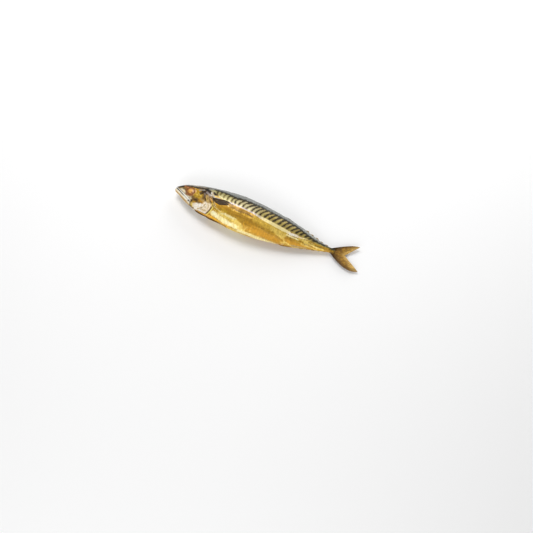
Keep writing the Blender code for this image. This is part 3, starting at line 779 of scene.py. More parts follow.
def line_distance(along, up, start_mm, end_mm):
    """Distance from a straight mark between two places on the flank, given in mm."""
    return from_stroke(along, up, np.array(start_mm) * MM, np.array(end_mm) * MM)[0]


def creased(creases_mm, along, up):
    """Depth of straight creases at places on the flank."""
    total = np.zeros(np.shape(up))
    for start, end, deep, wide in creases_mm:
        total += deep * MM * hill(line_distance(along, up, start, end), wide * MM)
    return total


def bar_distance(along_mm, above_mm, points):
    """How far each place on the skin lies outside the nearest dark bar, in mm, and negative inside it."""
    across = along_mm + 0.35 * ripples(points, 8 * MM, 2.5 * MM, 51)
    height = above_mm + 0.30 * ripples(points, 8 * MM, 2.5 * MM, 52)
    nearest = np.full(across.shape, NOWHERE)
    for bar in BARS_MM:
        for start, end in zip(bar[:-1], bar[1:]):
            off, share = from_stroke(across, height, start[:2], end[:2])
            nearest = np.minimum(nearest, off - start[2] - (end[2] - start[2]) * share)
    return nearest


def seam_along(turn):
    """Where the head's skin ends at each turn: over the nape, along the gill cover's rim, and down to a
    notch that runs forward under the throat."""
    half_turn = folded(turn)
    low = np.full(turn.shape, 40.0 * MM)
    high = np.full(turn.shape, 79.0 * MM)
    for _ in range(SEARCH_STEPS):
        middle = (low + high) / 2
        inside = oval_share(COVER_OVAL_MM, middle, body_point(middle, half_turn)[..., 1]) < 1.0
        low, high = np.where(inside, middle, low), np.where(inside, high, middle)
    rim = np.where(low < NAPE_SEAM, NAPE_SEAM, low)
    arc, whole = arc_from_back(rim, half_turn)
    notched = THROAT_SEAM + (rim - THROAT_SEAM) * smooth(0.6 * MM, 6.5 * MM, whole - arc)
    rim = np.where(half_turn > math.pi / 2, notched, rim)
    kernel = np.hanning(9)
    wrapped = np.concatenate([rim[-4:], rim, rim[:4]])
    return np.convolve(wrapped, kernel / kernel.sum(), mode="valid")


def slit_strength(turn, seam):
    """1 where the gill slit is open, falling to 0 over the nape."""
    return 1 - smooth(8.0 * MM, 15.0 * MM, body_point(seam, folded(turn))[..., 1])


def head_relief(along, up, points, looks):
    """How far the head's bones and openings stand off the plain loft."""
    gap = up - mouth_up(along)
    jaw_end = 1 - smooth(MOUTH_END - 1.6 * MM, MOUTH_END, along)
    push = -looks.mouth_depth * hill(gap, looks.mouth_width) * jaw_end * smooth(0.3 * MM, 4.0 * MM, along)
    upper_wide = 2.0 * MM + 0.085 * along
    blade_end = 1 - smooth(35.8 * MM, 37.2 * MM, along - 0.15 * (up - mouth_up(along)))
    under_top = 1 - smooth(upper_wide - 0.5 * MM, upper_wide + 0.2 * MM, gap)
    blade = smooth(-0.6 * MM, 0.5 * MM, gap + 0.02 * along) * under_top
    push += 0.55 * MM * blade * blade_end * smooth(2.0 * MM, 6.0 * MM, along)
    push -= 0.30 * MM * hill(gap - upper_wide - 0.4 * MM, 0.5 * MM) * blade_end * smooth(4 * MM, 9 * MM, along)
    lip = smooth(-3.9 * MM, -3.0 * MM, gap) * (1 - smooth(-1.0 * MM, -0.2 * MM, gap))
    push += 0.40 * MM * lip * jaw_end
    push -= 0.35 * MM * hill(gap + 4.4 * MM, 0.9 * MM) * jaw_end
    throat = smooth(-2.5 * MM, -4.5 * MM, gap) * jaw_end * smooth(3 * MM, 9 * MM, along)
    push -= 0.75 * MM * hill(np.abs(points[..., 2]) - 1.0 * MM - 0.085 * along, 0.55 * MM) * throat
    wrinkles = ripples(points, 6 * MM, 1.8 * MM, 13, (3.0, 1.0, 1.0))
    push += 0.11 * MM * wrinkles * smooth(0.0, -1.5 * MM, gap) * jaw_end
    push -= 0.55 * MM * hill(np.hypot(along - 33.4 * MM, up + 13.4 * MM), 1.1 * MM)
    from_eye = np.hypot(along - EYE_ALONG, up - EYE_UP)
    socket = 1 - smooth(EYE_RADIUS - 0.6 * MM, EYE_RADIUS + 0.5 * MM, from_eye)
    push += 0.22 * MM * hill(from_eye - EYE_RADIUS - 1.3 * MM, 1.6 * MM) - 1.5 * MM * socket
    under_eye = 1 - smooth(-0.5, 0.6, (up - EYE_UP) / EYE_RADIUS)
    push -= 0.5 * MM * hill(from_eye - EYE_RADIUS - 4.2 * MM, 1.2 * MM) * under_eye
    for nostril, long, high in NOSTRILS:
        off = np.hypot((along - nostril[0] * MM) / long, (up - nostril[1] * MM) / high)
        push += 0.25 * MM * hill(off - 1.7 * MM, 0.7 * MM) - 0.75 * MM * hill(off, 0.9 * MM)
    behind = smooth(40 * MM, 47 * MM, along)
    cover = oval_share(COVER_OVAL_MM, along, up)
    cheek = oval_share(CHEEK_OVAL_MM, along, up)
    push += COVER_STEP * smooth(0.35, 0.95, cover) * behind * slit_side(up)
    push -= behind * 0.75 * MM * hill(cheek - 1.0, 0.035) * (1 - smooth(9 * MM, 14 * MM, up))
    push += behind * 0.35 * MM * hill(cheek - 0.87, 0.08)
    push -= creased(HEAD_SEAMS_MM, along, up)
    angle = np.arctan2(up - 6.0 * MM, along - 50.0 * MM)
    fan = np.sin(angle * 26.0) * smooth(1.05, 1.2, cheek) * (1 - smooth(0.9, 1.0, cover)) * behind
    push += 0.07 * MM * fan
    wave = np.sin((up + 0.20 * along) / (1.25 * MM) * math.pi)
    push += 0.12 * MM * wave * smooth(-17 * MM, -20 * MM, up) * stretch(along, 42, 48, 66, 74)
    push += 0.09 * MM * ripples(points, 9 * MM, 2.5 * MM, 11) + 0.28 * MM * ripples(points, 30 * MM, 12 * MM, 12)
    return push


def slit_side(up):
    """1 on the side of the head, falling to 0 over the nape."""
    return 1 - smooth(10 * MM, 17 * MM, up)


def trunk_relief(place, points, from_belly, looks):
    """Lateral line, muscle blocks, creases and wrinkles of the trunk."""
    along, above, share = place[..., 0] * MM, place[..., 1] * MM, place[..., 2]
    up = points[..., 1]
    push = -0.16 * MM * hill(above, 1.0 * MM) * smooth(78 * MM, 90 * MM, along)
    zigzag = np.abs(((above / (13 * MM)) % 2.0) - 1.0) * 9 * MM
    blocks = np.sin((along + zigzag) / (5.6 * MM) * math.tau)
    push += 0.045 * MM * blocks * stretch(along, 80, 110, 255, 290) * (1 - np.abs(share) ** 4)
    bend = 1.6 * MM * np.sin(along / (17 * MM))
    push -= creased(CREASES_MM, along, up + bend)
    push -= 0.85 * MM * hill(from_belly, 0.9 * MM) * stretch(along, 72, 84, 176, 188)
    from_vent = np.hypot(from_belly, along - VENT_ALONG)
    push += 0.4 * MM * hill(from_vent - 2.6 * MM, 1.0 * MM) - 1.6 * MM * hill(from_vent, 1.5 * MM)
    # two small keels on each side of the tail's root
    keel_up = up - (measure(BACK, along) - measure(BELLY, along)) / 2
    for side in (1, -1):
        keel = hill(keel_up - side * (1.0 * MM + 0.16 * (along - 290 * MM)), 0.55 * MM)
        push += 0.8 * MM * keel * stretch(along, 291, 300, 309, 311.5)
    long_folds = ripples(points, 7 * MM, 2.6 * MM, 21, (5.0, 1.0, 1.0))
    fold_zone = stretch(along, 76, 86, 285, 305)
    push += looks.wrinkle * long_folds * fold_zone * (0.45 + 0.55 * smooth(0.1, -0.4, share))
    cross = ripples(points, 5 * MM, 2.2 * MM, 22, (1.0, 2.2, 2.2))
    push += 0.05 * MM * cross * smooth(0.0, -0.3, share) * fold_zone
    push += 0.22 * MM * ripples(points, 34 * MM, 13 * MM, 23) * stretch(along, 84, 100, 270, 300)
    return push


def brushed(marks, across_mm, height_mm, points, ground, seed):
    """Colour and cover of brush marks at points, laid over a plain brown ground of the cover given."""
    across = across_mm + 0.5 * ripples(points, 11 * MM, 3.5 * MM, seed)
    height = height_mm + 0.4 * ripples(points, 9 * MM, 3 * MM, seed + 1)
    colour = np.zeros(across.shape + (3,)) + np.array(HUES["brown"])
    cover = np.zeros(across.shape) + ground
    for a1, h1, a2, h2, width, hue, strength in marks:
        off, _ = from_stroke(across, height, (a1, h1), (a2, h2))
        laid = strength * (1 - smooth(width * BRUSH_FULL, width * BRUSH_END, off))
        after = laid + cover * (1 - laid)
        part = np.where(after > 1e-6, laid / np.maximum(after, 1e-6), 0.0)[..., None]
        colour = colour * (1 - part) + np.array(HUES[hue]) * part
        cover = after
    return np.concatenate([colour, cover[..., None]], axis=-1)


# ------------------------------------------------------------------ making meshes


def linked(name, mesh):
    """A smooth-shaded object at the origin."""
    mesh.shade_smooth()
    made = bpy.data.objects.new(name, mesh)
    bpy.context.scene.collection.objects.link(made)
    return made


def store_values(mesh, attributes):
    """Keeps named values at a mesh's points: numbers, places or colours with their cover."""
    for key, values in attributes.items():
        values = np.asarray(values, np.float32)
        kind, field = ATTRIBUTE_KINDS[values.shape[1] if values.ndim > 1 else 1]
        mesh.attributes.new(key, kind, "POINT").data.foreach_set(field, values.ravel())


def new_piece(name, points, faces, finish, attributes, sharp_ring=()):
    """A piece from points, faces and named values at its points. The edges of the sharp ring stay crisp."""
    mesh = bpy.data.meshes.new(name)
    mesh.from_pydata([tuple(point) for point in np.asarray(points, float).reshape(-1, 3)], [], faces)
    mesh.validate()
    build = bmesh.new()
    build.from_mesh(mesh)
    bmesh.ops.recalc_face_normals(build, faces=build.faces)
    build.to_mesh(mesh)
    build.free()
    made = linked(name, mesh)
    store_values(mesh, attributes)
    wanted = {tuple(sorted(edge)) for edge in zip(sharp_ring, np.roll(sharp_ring, -1))}
    for edge in mesh.edges:
        if wanted and tuple(sorted(edge.vertices)) in wanted:
            edge.use_edge_sharp = True
    mesh.materials.append(finish)
    return made


def tube_faces(rows, columns):
    """Quads of a tube whose columns close round, and the points' numbers of its rings."""
    numbers = np.arange(rows * columns).reshape(rows, columns)
    after = np.roll(numbers, -1, axis=1)
    quads = np.stack([numbers[:-1], after[:-1], after[1:], numbers[1:]], axis=-1).reshape(-1, 4)
    return quads.tolist(), numbers


def closed_tube(points, values, last_point, first_point, last_values=None, first_values=None):
    """Closes a tube's last and first ring with a cone to a point, which has the values of the tube's
    first point but for those given. Gives points, faces, values and the numbers of the rings."""
    rows, columns = points.shape[:2]
    faces, numbers = tube_faces(rows, columns)
    for tip, ring in ((numbers.size, numbers[-1]), (numbers.size + 1, numbers[0][::-1])):
        faces += [[tip, a, b] for a, b in zip(ring.tolist(), np.roll(ring, -1).tolist())]
    closed = {}
    for key, value in values.items():
        ends = [(given or {}).get(key, value[0]) for given in (last_values, first_values)]
        closed[key] = np.concatenate([value] + [np.broadcast_to(end, value[:1].shape) for end in ends])
    return np.vstack([points.reshape(-1, 3), last_point, first_point]), faces, closed, numbers


def grid_normals(points):
    """Outward directions of a grid whose columns close round."""
    along = np.gradient(points, axis=0)
    around = (np.roll(points, -1, axis=1) - np.roll(points, 1, axis=1)) / 2
    normal = np.cross(around, along)
    normal /= np.maximum(np.linalg.norm(normal, axis=-1, keepdims=True), 1e-12)
    middle = points.mean(axis=1, keepdims=True)
    outward = np.sign(np.sum(normal * (points - middle), axis=-1).mean())
    return normal * outward


def plate_faces(rows, columns):
    """Faces of a closed thin plate: a top grid, a bottom grid and the wall between them."""
    top = np.arange(rows * columns).reshape(rows, columns)
    bottom = top + rows * columns
    faces = []
    for grid in (top, bottom):
        quads = np.stack([grid[:-1, :-1], grid[:-1, 1:], grid[1:, 1:], grid[1:, :-1]], axis=-1)
        faces += quads.reshape(-1, 4).tolist()
    border = np.concatenate([np.arange(columns), np.arange(1, rows) * columns + columns - 1])
    border = np.concatenate([border, (rows - 1) * columns + np.arange(columns - 2, -1, -1)])
    border = np.concatenate([border, np.arange(rows - 2, 0, -1) * columns])
    after = np.roll(border, -1)
    shift = rows * columns
    faces += np.stack([border, after, after + shift, border + shift], axis=-1).tolist()
    return faces


def dress(piece):
    """Hands a finished piece over to the frame."""
    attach(piece, "root")
    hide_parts(NODE)
    return piece


def thin_fin(name, grids, values, finish):
    """A closed blade from its two grids of points, with the values at the points of each."""
    rows, columns = grids[0].shape[:2]
    values = {key: np.tile(value.ravel(), 2) for key, value in values.items()}
    points = laid_down(np.concatenate(grids))
    return dress(new_piece(name, points, plate_faces(rows, columns), finish, values))


# ------------------------------------------------------------------ finishes


class Wire:
    """A socket that can be reckoned with: an expression on values adds its Math nodes."""

    def __init__(self, nodes, socket):
        self.nodes = nodes
        self.socket = socket

    def maths(self, operation, first, second=0.0):
        return self.nodes.node("ShaderNodeMath", {"operation": operation}, {0: first, 1: second})

    def __add__(self, other):
        return self.maths("ADD", self, other)

    def __radd__(self, other):
        return self.maths("ADD", other, self)

    def __sub__(self, other):
        return self.maths("SUBTRACT", self, other)

    def __rsub__(self, other):
        return self.maths("SUBTRACT", other, self)

    def __mul__(self, other):
        return self.maths("MULTIPLY", self, other)

    def __rmul__(self, other):
        return self.maths("MULTIPLY", other, self)

    def __pow__(self, other):
        return self.maths("POWER", self, other)

    def __abs__(self):
        return self.maths("ABSOLUTE", self)

    def at_least(self, lowest):
        return self.maths("MAXIMUM", self, lowest)

    def sine(self):
        return self.maths("SINE", self)

    def cosine(self):
        return self.maths("COSINE", self)


class Nodes:
    """A node tree under construction. Every node comes from its node method."""

    def __init__(self, tree):
        self.tree = tree

    def node(self, kind, settings=None, sockets=None, output=0):
        """Adds a node of a kind with its settings, and with numbers or links in its sockets."""
        made = self.tree.nodes.new(kind)
        for key, value in (settings or {}).items():
            setattr(made, key, value)
        for key, value in (sockets or {}).items():
            if isinstance(value, Wire):
                self.tree.links.new(value.socket, made.inputs[key])
            else:
                made.inputs[key].default_value = value
        return Wire(self, made.outputs[output])

    def parts(self, vector):
        separate = self.node("ShaderNodeSeparateXYZ", sockets={0: vector})
        return [Wire(self, socket) for socket in separate.socket.node.outputs]


class Paint(Nodes):
    """A finish under construction."""

    def __init__(self, name):
        self.material = bpy.data.materials.new(name)
        self.material.use_nodes = True
        super().__init__(self.material.node_tree)
        self.tree.nodes.clear()

    def value(self, name):
        return self.node("ShaderNodeAttribute", {"attribute_name": name}, output=2)

    def vector(self, name):
        return self.node("ShaderNodeAttribute", {"attribute_name": name}, output=1)

    def marks(self, name):
        """Colour and cover of marks that are brushed on at the points."""
        colour = self.node("ShaderNodeAttribute", {"attribute_name": name})
        return colour, Wire(self, colour.socket.node.outputs["Alpha"])

    def grey(self, colour):
        return self.node("ShaderNodeRGBToBW", sockets={0: colour})

    def place(self):
        return self.node("ShaderNodeTexCoord", output=3)

    def stretched(self, vector, scale, turn=(0.0, 0.0, 0.0)):
        return self.node("ShaderNodeMapping", sockets={"Vector": vector, "Scale": scale, "Rotation": turn})

    def noise(self, where, scale, detail=3.0, roughness=0.55, distortion=0.0):
        sockets = {"Vector": where, "Scale": scale, "Detail": detail, "Roughness": roughness}
        return self.node("ShaderNodeTexNoise", sockets={**sockets, "Distortion": distortion})

    def cells(self, where, scale):
        return self.node("ShaderNodeTexVoronoi", sockets={"Vector": where, "Scale": scale})

    def smooth(self, value, low, high):
        settings = {"interpolation_type": "SMOOTHSTEP"}
        return self.node("ShaderNodeMapRange", settings, {0: value, 1: low, 2: high})

    def hill(self, value, width):
        return 1 - self.smooth(abs(value), 0.0, width)

    def mix(self, share, first, second, blend="MIX"):
        settings = {"data_type": "RGBA", "blend_type": blend}
        return self.node("ShaderNodeMix", settings, {0: share, 6: first, 7: second}, output=2)

    def bump(self, height, distance, strength):
        return self.node("ShaderNodeBump", sockets={"Height": height, "Distance": distance, "Strength": strength})

    def finish(self, sockets):
        shader = self.node("ShaderNodeBsdfPrincipled", sockets=sockets)
        surface = self.tree.nodes.new("ShaderNodeOutputMaterial").inputs["Surface"]
        self.tree.links.new(shader.socket, surface)
        return self.material


def skin_finish(looks):
    """The whole smoked skin, head and trunk, painted by its place on the fish."""
    paint = Paint("painted_skin")
    spot = paint.place()
    along, above, share = paint.parts(paint.vector("place"))
    bar, over_dark, from_belly = paint.parts(paint.vector("bands"))
    middle = paint.noise(spot, 190.0, 3.0)
    fine = paint.noise(spot, 750.0, 3.0)
    streak = paint.noise(paint.stretched(spot, (0.20, 1.0, 1.0)), 380.0, 3.0, 0.62)
    cross = paint.noise(paint.stretched(spot, (1.0, 0.30, 0.30), (0.0, 0.0, 0.35)), 430.0, 3.0, 0.62)
    sway, flick, drift, weft = middle - 0.5, fine - 0.5, streak - 0.5, cross - 0.5

    # the flank is smoked gold with brown streaks, and the brushed marks, some of them painted highlights, lie over
    # it
    colour = paint.mix(paint.smooth(streak, 0.36, 0.66), BRONZE, looks.gold)
    colour = paint.mix(paint.smooth(cross, 0.48, 0.70) * 0.55, colour, BRIGHT_GOLD)
    low = paint.smooth(share + sway * 0.3, -0.35, -0.62)
    colour = paint.mix(low * 0.85, colour, looks.amber)
    marks, mark_share = paint.marks("flank_marks")
    broken = drift * 0.5 + weft * 0.6
    colour = paint.mix(paint.smooth(mark_share + broken, 0.08, 0.86), colour, marks)
    grain = paint.smooth(cross, 0.30, 0.72)
    colour = paint.mix(0.42, colour, paint.mix(grain, GRAIN_LOW, GRAIN_HIGH), "MULTIPLY")

    # the pale lateral line: white with lilac dots in front, straw yellow behind
    ragged = sway * 1.6 + (paint.noise(spot, 420.0, 2.0) - 0.5) * 1.6
    ragged = ragged + (paint.noise(spot, 1300.0, 2.0) - 0.5) * 0.9
    bars = paint.smooth(bar + ragged, 0.55, -0.45)
    near = paint.smooth(bar, 3.0, 0.2)
    rear = paint.smooth(along, 150.0, 182.0)
    reach = 1.25 + rear * 1.75
    line = paint.smooth(abs(above + rear * 0.3 + flick * 0.9), reach + 0.9, reach - 0.6)
    line_colour = paint.mix(rear, LINE_SILVER, LINE_STRAW)
    lilac = paint.smooth(near, 0.25, 0.80) * (1 - rear)
    line_colour = paint.mix(lilac * 0.85, line_colour, LINE_LILAC)
    line_on = line * paint.smooth(along, 99.0, 110.0) * paint.smooth(along, 224.0, 210.0)
    colour = paint.mix(line_on * 0.92, colour, line_colour)

    # khaki above the line, crossed by the bars, and dark along the back, lightened towards the spine by painted
    # sheen
    khaki = paint.mix(paint.smooth(along, 150.0, 186.0), looks.between, REAR_KHAKI)
    khaki = paint.mix(paint.smooth(along, 98.0, 128.0) * paint.smooth(along, 172.0, 150.0) * 0.8, khaki, PALE_KHAKI)
    khaki = paint.mix(paint.smooth(fine, 0.42, 0.66) * 0.35, khaki, KHAKI_FLECK)
    khaki = paint.mix(paint.smooth(middle, 0.50, 0.70) * 0.4, khaki, KHAKI_SHADE)
    centre = paint.smooth(near, 0.55, 0.05) * paint.smooth(above, 14.0, 5.0)
    gleam = paint.mix(rear, KHAKI_GLEAM, REAR_GLEAM)
    khaki = paint.mix(centre * 0.4, khaki, gleam)
    lifted = over_dark + sway * 4.0 + weft * 5.0
    # painted sheen: above the dark band the back turns a paler grey towards the spine and over the stalk, partly
    # the skin's own grey
    back_and_sheen = paint.mix(paint.smooth(along, 236.0, 258.0), looks.back, STALK_GREY)
    back = paint.mix(paint.smooth(lifted, 1.5, 7.0), BACK_EDGE, back_and_sheen)
    # painted sheen: pale grey streaks over the back
    back = paint.mix(paint.smooth(cross, 0.46, 0.66) * paint.smooth(over_dark, 1.0, 6.0) * 0.45, back, BACK_SHEEN)
    wander = along + (paint.noise(spot, 60.0, 2.0) - 0.5) * 16.0 + sway * 5.0 - over_dark * 0.5
    shadow = paint.smooth((wander * (math.tau * MM / looks.shadow_pitch)).cosine() + weft * 1.6, -0.1, 0.9)
    shadow = shadow * (paint.smooth(over_dark, 2.0, 6.0) * 0.22 + paint.smooth(over_dark, 9.0, 16.0) * 0.40)
    back = paint.mix(shadow * paint.smooth(along, 40.0, 70.0), back, BACK_SHADOW)
    dark = paint.smooth(over_dark + sway * 5.0 + flick * 2.0, -1.6, 1.2)
    upper = paint.mix(dark, khaki, back)
    edge_brown = paint.smooth(near, 0.35, 0.95) * (1 - dark) * 0.6
    upper = paint.mix(edge_brown, upper, BAR_EDGE)
    bar_on = bars * (1 - paint.smooth(over_dark, 2.0, 7.0) * 0.7)
    upper = paint.mix(bar_on * 0.95, upper, looks.bars)
    raised = above - rear * 1.2 + paint.smooth(along, 106.0, 98.0) * 3.0
    is_upper = paint.smooth(raised + flick * 1.2, 0.7, 2.1)
    colour = paint.mix(is_upper, colour, upper)

    # the head, and what is brushed over both
    head, head_cover = paint.marks("head_marks")
    head = head_details(paint, spot, head, along, from_belly, middle, fine, streak)
    on_head = paint.smooth(head_cover + flick * 0.7 + sway * 0.9, 0.16, 0.80)
    uneven_along = along + sway * 46.0 + flick * 20.0
    nape = paint.smooth(over_dark + sway * 3.0, 3.5, 9.0) * paint.smooth(uneven_along, 24.0, 68.0)
    on_head = on_head * (1 - nape)
    colour = paint.mix(on_head, colour, head)
    slit = paint.value("slit")
    rim = paint.value("rim") + flick * 0.9 + sway * 1.8
    colour = paint.mix(paint.smooth(abs(rim - 2.2), 2.0, 0.7) * 0.88, colour, RIM_YELLOW)
    # wine at the cover's edge and dark red in the slit: partly the gills' own colour, partly painted shade under
    # the gill cover
    colour = paint.mix(paint.smooth(abs(rim + 0.1), 1.2, 0.6) * 0.9, colour, RIM_WINE)
    colour = paint.mix(slit, colour, SLIT_RED)

    shade = paint.grey(colour)
    dull = paint.smooth(shade, 0.16, 0.03)
    rough = 0.38 + sway * 0.18 + dull * 0.06 + slit * 0.2
    metal = 0.40 - dull * 0.36 - on_head * 0.22
    scales = paint.cells(paint.stretched(spot, (1.0, 1.25, 1.25)), 980.0)
    relief = scales * 0.32 * (1 - on_head * 0.75) + fine * 0.5 + streak * 0.4
    return paint.finish(
        {
            "Base Color": colour,
            "Roughness": rough,
            "Metallic": metal,
            "Normal": paint.bump(relief, 0.00016, 0.6),
            "Coat Weight": 0.22 - dull * 0.20,
            "Coat Roughness": 0.15,
            "Specular IOR Level": 0.14,
        }
    )


def head_details(paint, spot, colour, along, from_belly, middle, fine, streak):
    """Adds what is finer than the brushed marks: mottling, the jaws, the eye's ring and the openings."""
    sway, flick, drift = middle - 0.5, fine - 0.5, streak - 0.5
    gap = paint.value("mouth_gap")
    eye = paint.value("eye_ring") + sway * 4.0 + flick
    light = paint.smooth(paint.grey(colour), 0.42, 0.70)
    mottle = paint.mix(paint.smooth(middle, 0.36, 0.66), MOTTLE_LOW, MOTTLE_HIGH)
    colour = paint.mix(0.55 - light * 0.33, colour, mottle, "MULTIPLY")
    grain = paint.mix(paint.smooth(fine, 0.38, 0.64), FLECK_LOW, FLECK_HIGH)
    colour = paint.mix(0.5 - light * 0.3, colour, grain, "MULTIPLY")
    # upper jaw blade, lower lip and the tan underside of the jaw
    wide = 1.8 + paint.smooth(along, 0.0, 36.0) * 2.4
    blade = paint.smooth(gap, -0.1, 0.4) * paint.smooth(gap - wide, 0.4, -0.4) * paint.smooth(along, 36.6, 35.4)
    blade_colour = paint.mix(paint.smooth(streak, 0.38, 0.52), BLADE_BROWN, BLADE_BONE)
    lip = paint.smooth(gap - paint.smooth(along, 14.0, 32.0) * 1.2 + drift * 2.0, 2.6, 1.5)
    lip = lip * (1 - paint.smooth(fine, 0.52, 0.66) * 0.4)
    blade_colour = paint.mix(lip, blade_colour, LIP_WHITE)
    colour = paint.mix(blade * 0.88, colour, blade_colour)
    upper_line = paint.hill(gap - wide - 0.5 + flick * 0.9, 0.9) * paint.smooth(along, 35.0, 32.0)
    colour = paint.mix(upper_line * 0.7, colour, BLADE_SEAM)
    jaw = paint.smooth(gap, 0.0, -0.5) * paint.smooth(along, 37.5, 35.5)
    under = gap + drift * 3.0 + sway * 2.4
    jaw_colour = paint.mix(paint.smooth(under, -2.0, -4.4), JAW_IVORY, JAW_TAN)
    jaw_colour = paint.mix(paint.smooth(streak, 0.50, 0.62) * 0.4, jaw_colour, JAW_STREAK)
    jaw_colour = paint.mix(paint.smooth(fine, 0.54, 0.68) * 0.35, jaw_colour, JAW_FLECK)
    inner = from_belly - 1.0 - along * 0.085 + sway
    soft = paint.mix(paint.smooth(streak, 0.40, 0.60), THROAT_TAN, THROAT_STRAW)
    soft = paint.mix(paint.smooth(from_belly + flick * 1.2, 1.0, 0.2) * 0.7, soft, THROAT_FOLD)
    jaw_colour = paint.mix(paint.smooth(inner, 0.5, -0.4) * 0.85, jaw_colour, soft)
    jaw_colour = paint.mix(paint.smooth(abs(inner - 3.2 - along * 0.06), 1.5, 0.5) * 0.55, jaw_colour, JAW_BONE)
    jaw_colour = paint.mix(paint.hill(inner, 0.5) * 0.75, jaw_colour, JAW_GROOVE)
    colour = paint.mix(jaw * 0.95, colour, jaw_colour)
    # tan and peach marbling in the pearly plates
    marble = paint.noise(paint.stretched(spot, (1.0, 0.38, 0.5), (0.0, 0.0, -0.6)), 210.0, 3.0, 0.6, 0.8)
    pearly = light * (1 - jaw) * (1 - blade)
    colour = paint.mix(paint.smooth(marble, 0.50, 0.62) * pearly * 0.6, colour, MARBLE_TAN)
    colour = paint.mix(paint.smooth(marble, 0.42, 0.32) * pearly * 0.8, colour, MARBLE_PEARL)
    # rust-red flesh round the eye
    flesh = paint.mix(paint.smooth(streak, 0.42, 0.60), EYE_FLESH, DARK_FLESH)
    colour = paint.mix(paint.smooth(eye, 10.6, 8.8) * 0.85, colour, flesh)
    colour = paint.mix(paint.hill(eye - 8.2, 0.9) * 0.5, colour, EYE_RING)
    # painted shade: the gap of the jaws, the notches at its corner and the nostrils are darkened inside
    mouth = paint.smooth(abs(gap - 0.1 + flick * 0.5), 1.1, 0.6)
    mouth = mouth * (paint.smooth(along, 24.0, 17.0) * 0.8 + 0.2) * paint.smooth(along, 35.8, 34.6)
    colour = paint.mix(mouth, colour, MOUTH_SHADE)
    notch = paint.smooth(paint.value("notch") + flick * 1.4 + sway * 1.2, 0.35, -0.35)
    colour = paint.mix(notch * 0.9, colour, NOTCH_SHADE)
    nostril = paint.smooth(paint.value("nostril"), 0.95, 0.55)
    return paint.mix(nostril, colour, NOSTRIL_SHADE)


def fin_finish(name, looks, stain, stained):
    """Dried web and rays, stained over. The point value ray runs across the rays, reach out to the edge."""
    paint = Paint(name)
    spot = paint.place()
    ray = paint.value("ray")
    reach = paint.value("reach")
    edge = paint.value("edge")
    grain = paint.noise(spot, 240.0, 4.0)
    fine = paint.noise(spot, 1100.0, 2.0)
    fork = paint.smooth(reach, 0.42, 0.62)
    ribs = (ray * math.tau).cosine() * (0.5 - fork * 0.5) + (ray * 2 * math.tau).cosine() * fork * 0.5 + 0.5
    combed = paint.noise(paint.node("ShaderNodeCombineXYZ", sockets={0: ray * 0.8, 1: reach * 1.6}), 1.0, 3.0, 0.6)
    web = paint.mix(paint.smooth(grain, 0.38, 0.64), looks.web, WEB_BROWN)
    web = paint.mix(paint.smooth(reach, 0.55, 1.0) * (1 - stained), web, WEB_TIP)
    web = paint.mix(paint.smooth(combed, 0.56, 0.40) * 0.7, web, WEB_SHADE)
    colour = paint.mix(paint.smooth(ribs, 0.5, 0.95) * 0.5, web, looks.ray)
    colour = paint.mix(paint.smooth(reach + (combed - 0.5) * 0.7, 0.52, 0.06) * 0.85, colour, FIN_ROOT)
    colour = paint.mix(paint.smooth(edge + (combed - 0.5) * 0.9, 0.15, 0.75) * 0.8, colour, FIN_EDGE)
    colour = paint.mix(stained * (1 - paint.smooth(combed, 0.54, 0.70) * 0.5), colour, stain)
    relief = ribs * 0.6 + fine * 0.3
    return paint.finish(
        {
            "Base Color": colour,
            "Roughness": 0.38 + (grain - 0.5) * 0.2,
            "Metallic": 0.12,
            "Normal": paint.bump(relief, 0.00012, 0.6),
            "Coat Weight": 0.12,
            "Coat Roughness": 0.2,
            "Specular IOR Level": 0.18,
        }
    )


def eye_finish(looks):
    """Clouded amber eye. The point value ring is the distance from its middle in mm."""
    paint = Paint("painted_eye")
    spot = paint.place()
    ring = paint.value("ring")
    grain = paint.noise(spot, 420.0, 3.0)
    fine = paint.noise(spot, 1500.0, 2.0)
    iris = paint.mix(paint.smooth(grain, 0.38, 0.64), looks.iris, IRIS_GOLD)
    iris = paint.mix(paint.smooth(fine, 0.55, 0.75) * 0.5, iris, IRIS_FLECK)
    lens = paint.mix(paint.smooth(grain, 0.42, 0.66), looks.lens, LENS_GLEAM)
    wander = ring + (grain - 0.5) * 1.6 + (paint.noise(spot, 150.0, 2.0) - 0.5) * 3.0
    colour = paint.mix(paint.smooth(wander, 5.0, 3.0), iris, lens)
    colour = paint.mix(paint.hill(wander - 4.5, 1.0) * 0.5, colour, LENS_EDGE)
    colour = paint.mix(paint.smooth(ring, 6.4, 7.4) * 0.85, colour, SOCKET_EDGE)
    return paint.finish(
        {
            "Base Color": colour,
            "Roughness": 0.3 + grain * 0.15,
            "Normal": paint.bump(grain + fine * 0.4, 0.00012, 0.5),
            "Coat Weight": 0.3,
            "Coat Roughness": 0.06,
            "Specular IOR Level": 0.3,
        }
    )


def finish_named(name, make):
    """The finish of that name, made the first time that a piece asks for it."""
    return bpy.data.materials.get(name) or make()


def skin_of(scene):
    """The finish of head and trunk."""
    return finish_named("painted_skin", lambda: skin_finish(scene.mackerel_skin))


def fin_of(scene, name="painted_fin"):
    """One of the fin finishes."""
    return finish_named(name, lambda: fin_finish(name, scene.mackerel_fins, *FIN_STAINS[name]))


# ------------------------------------------------------------------ the pieces


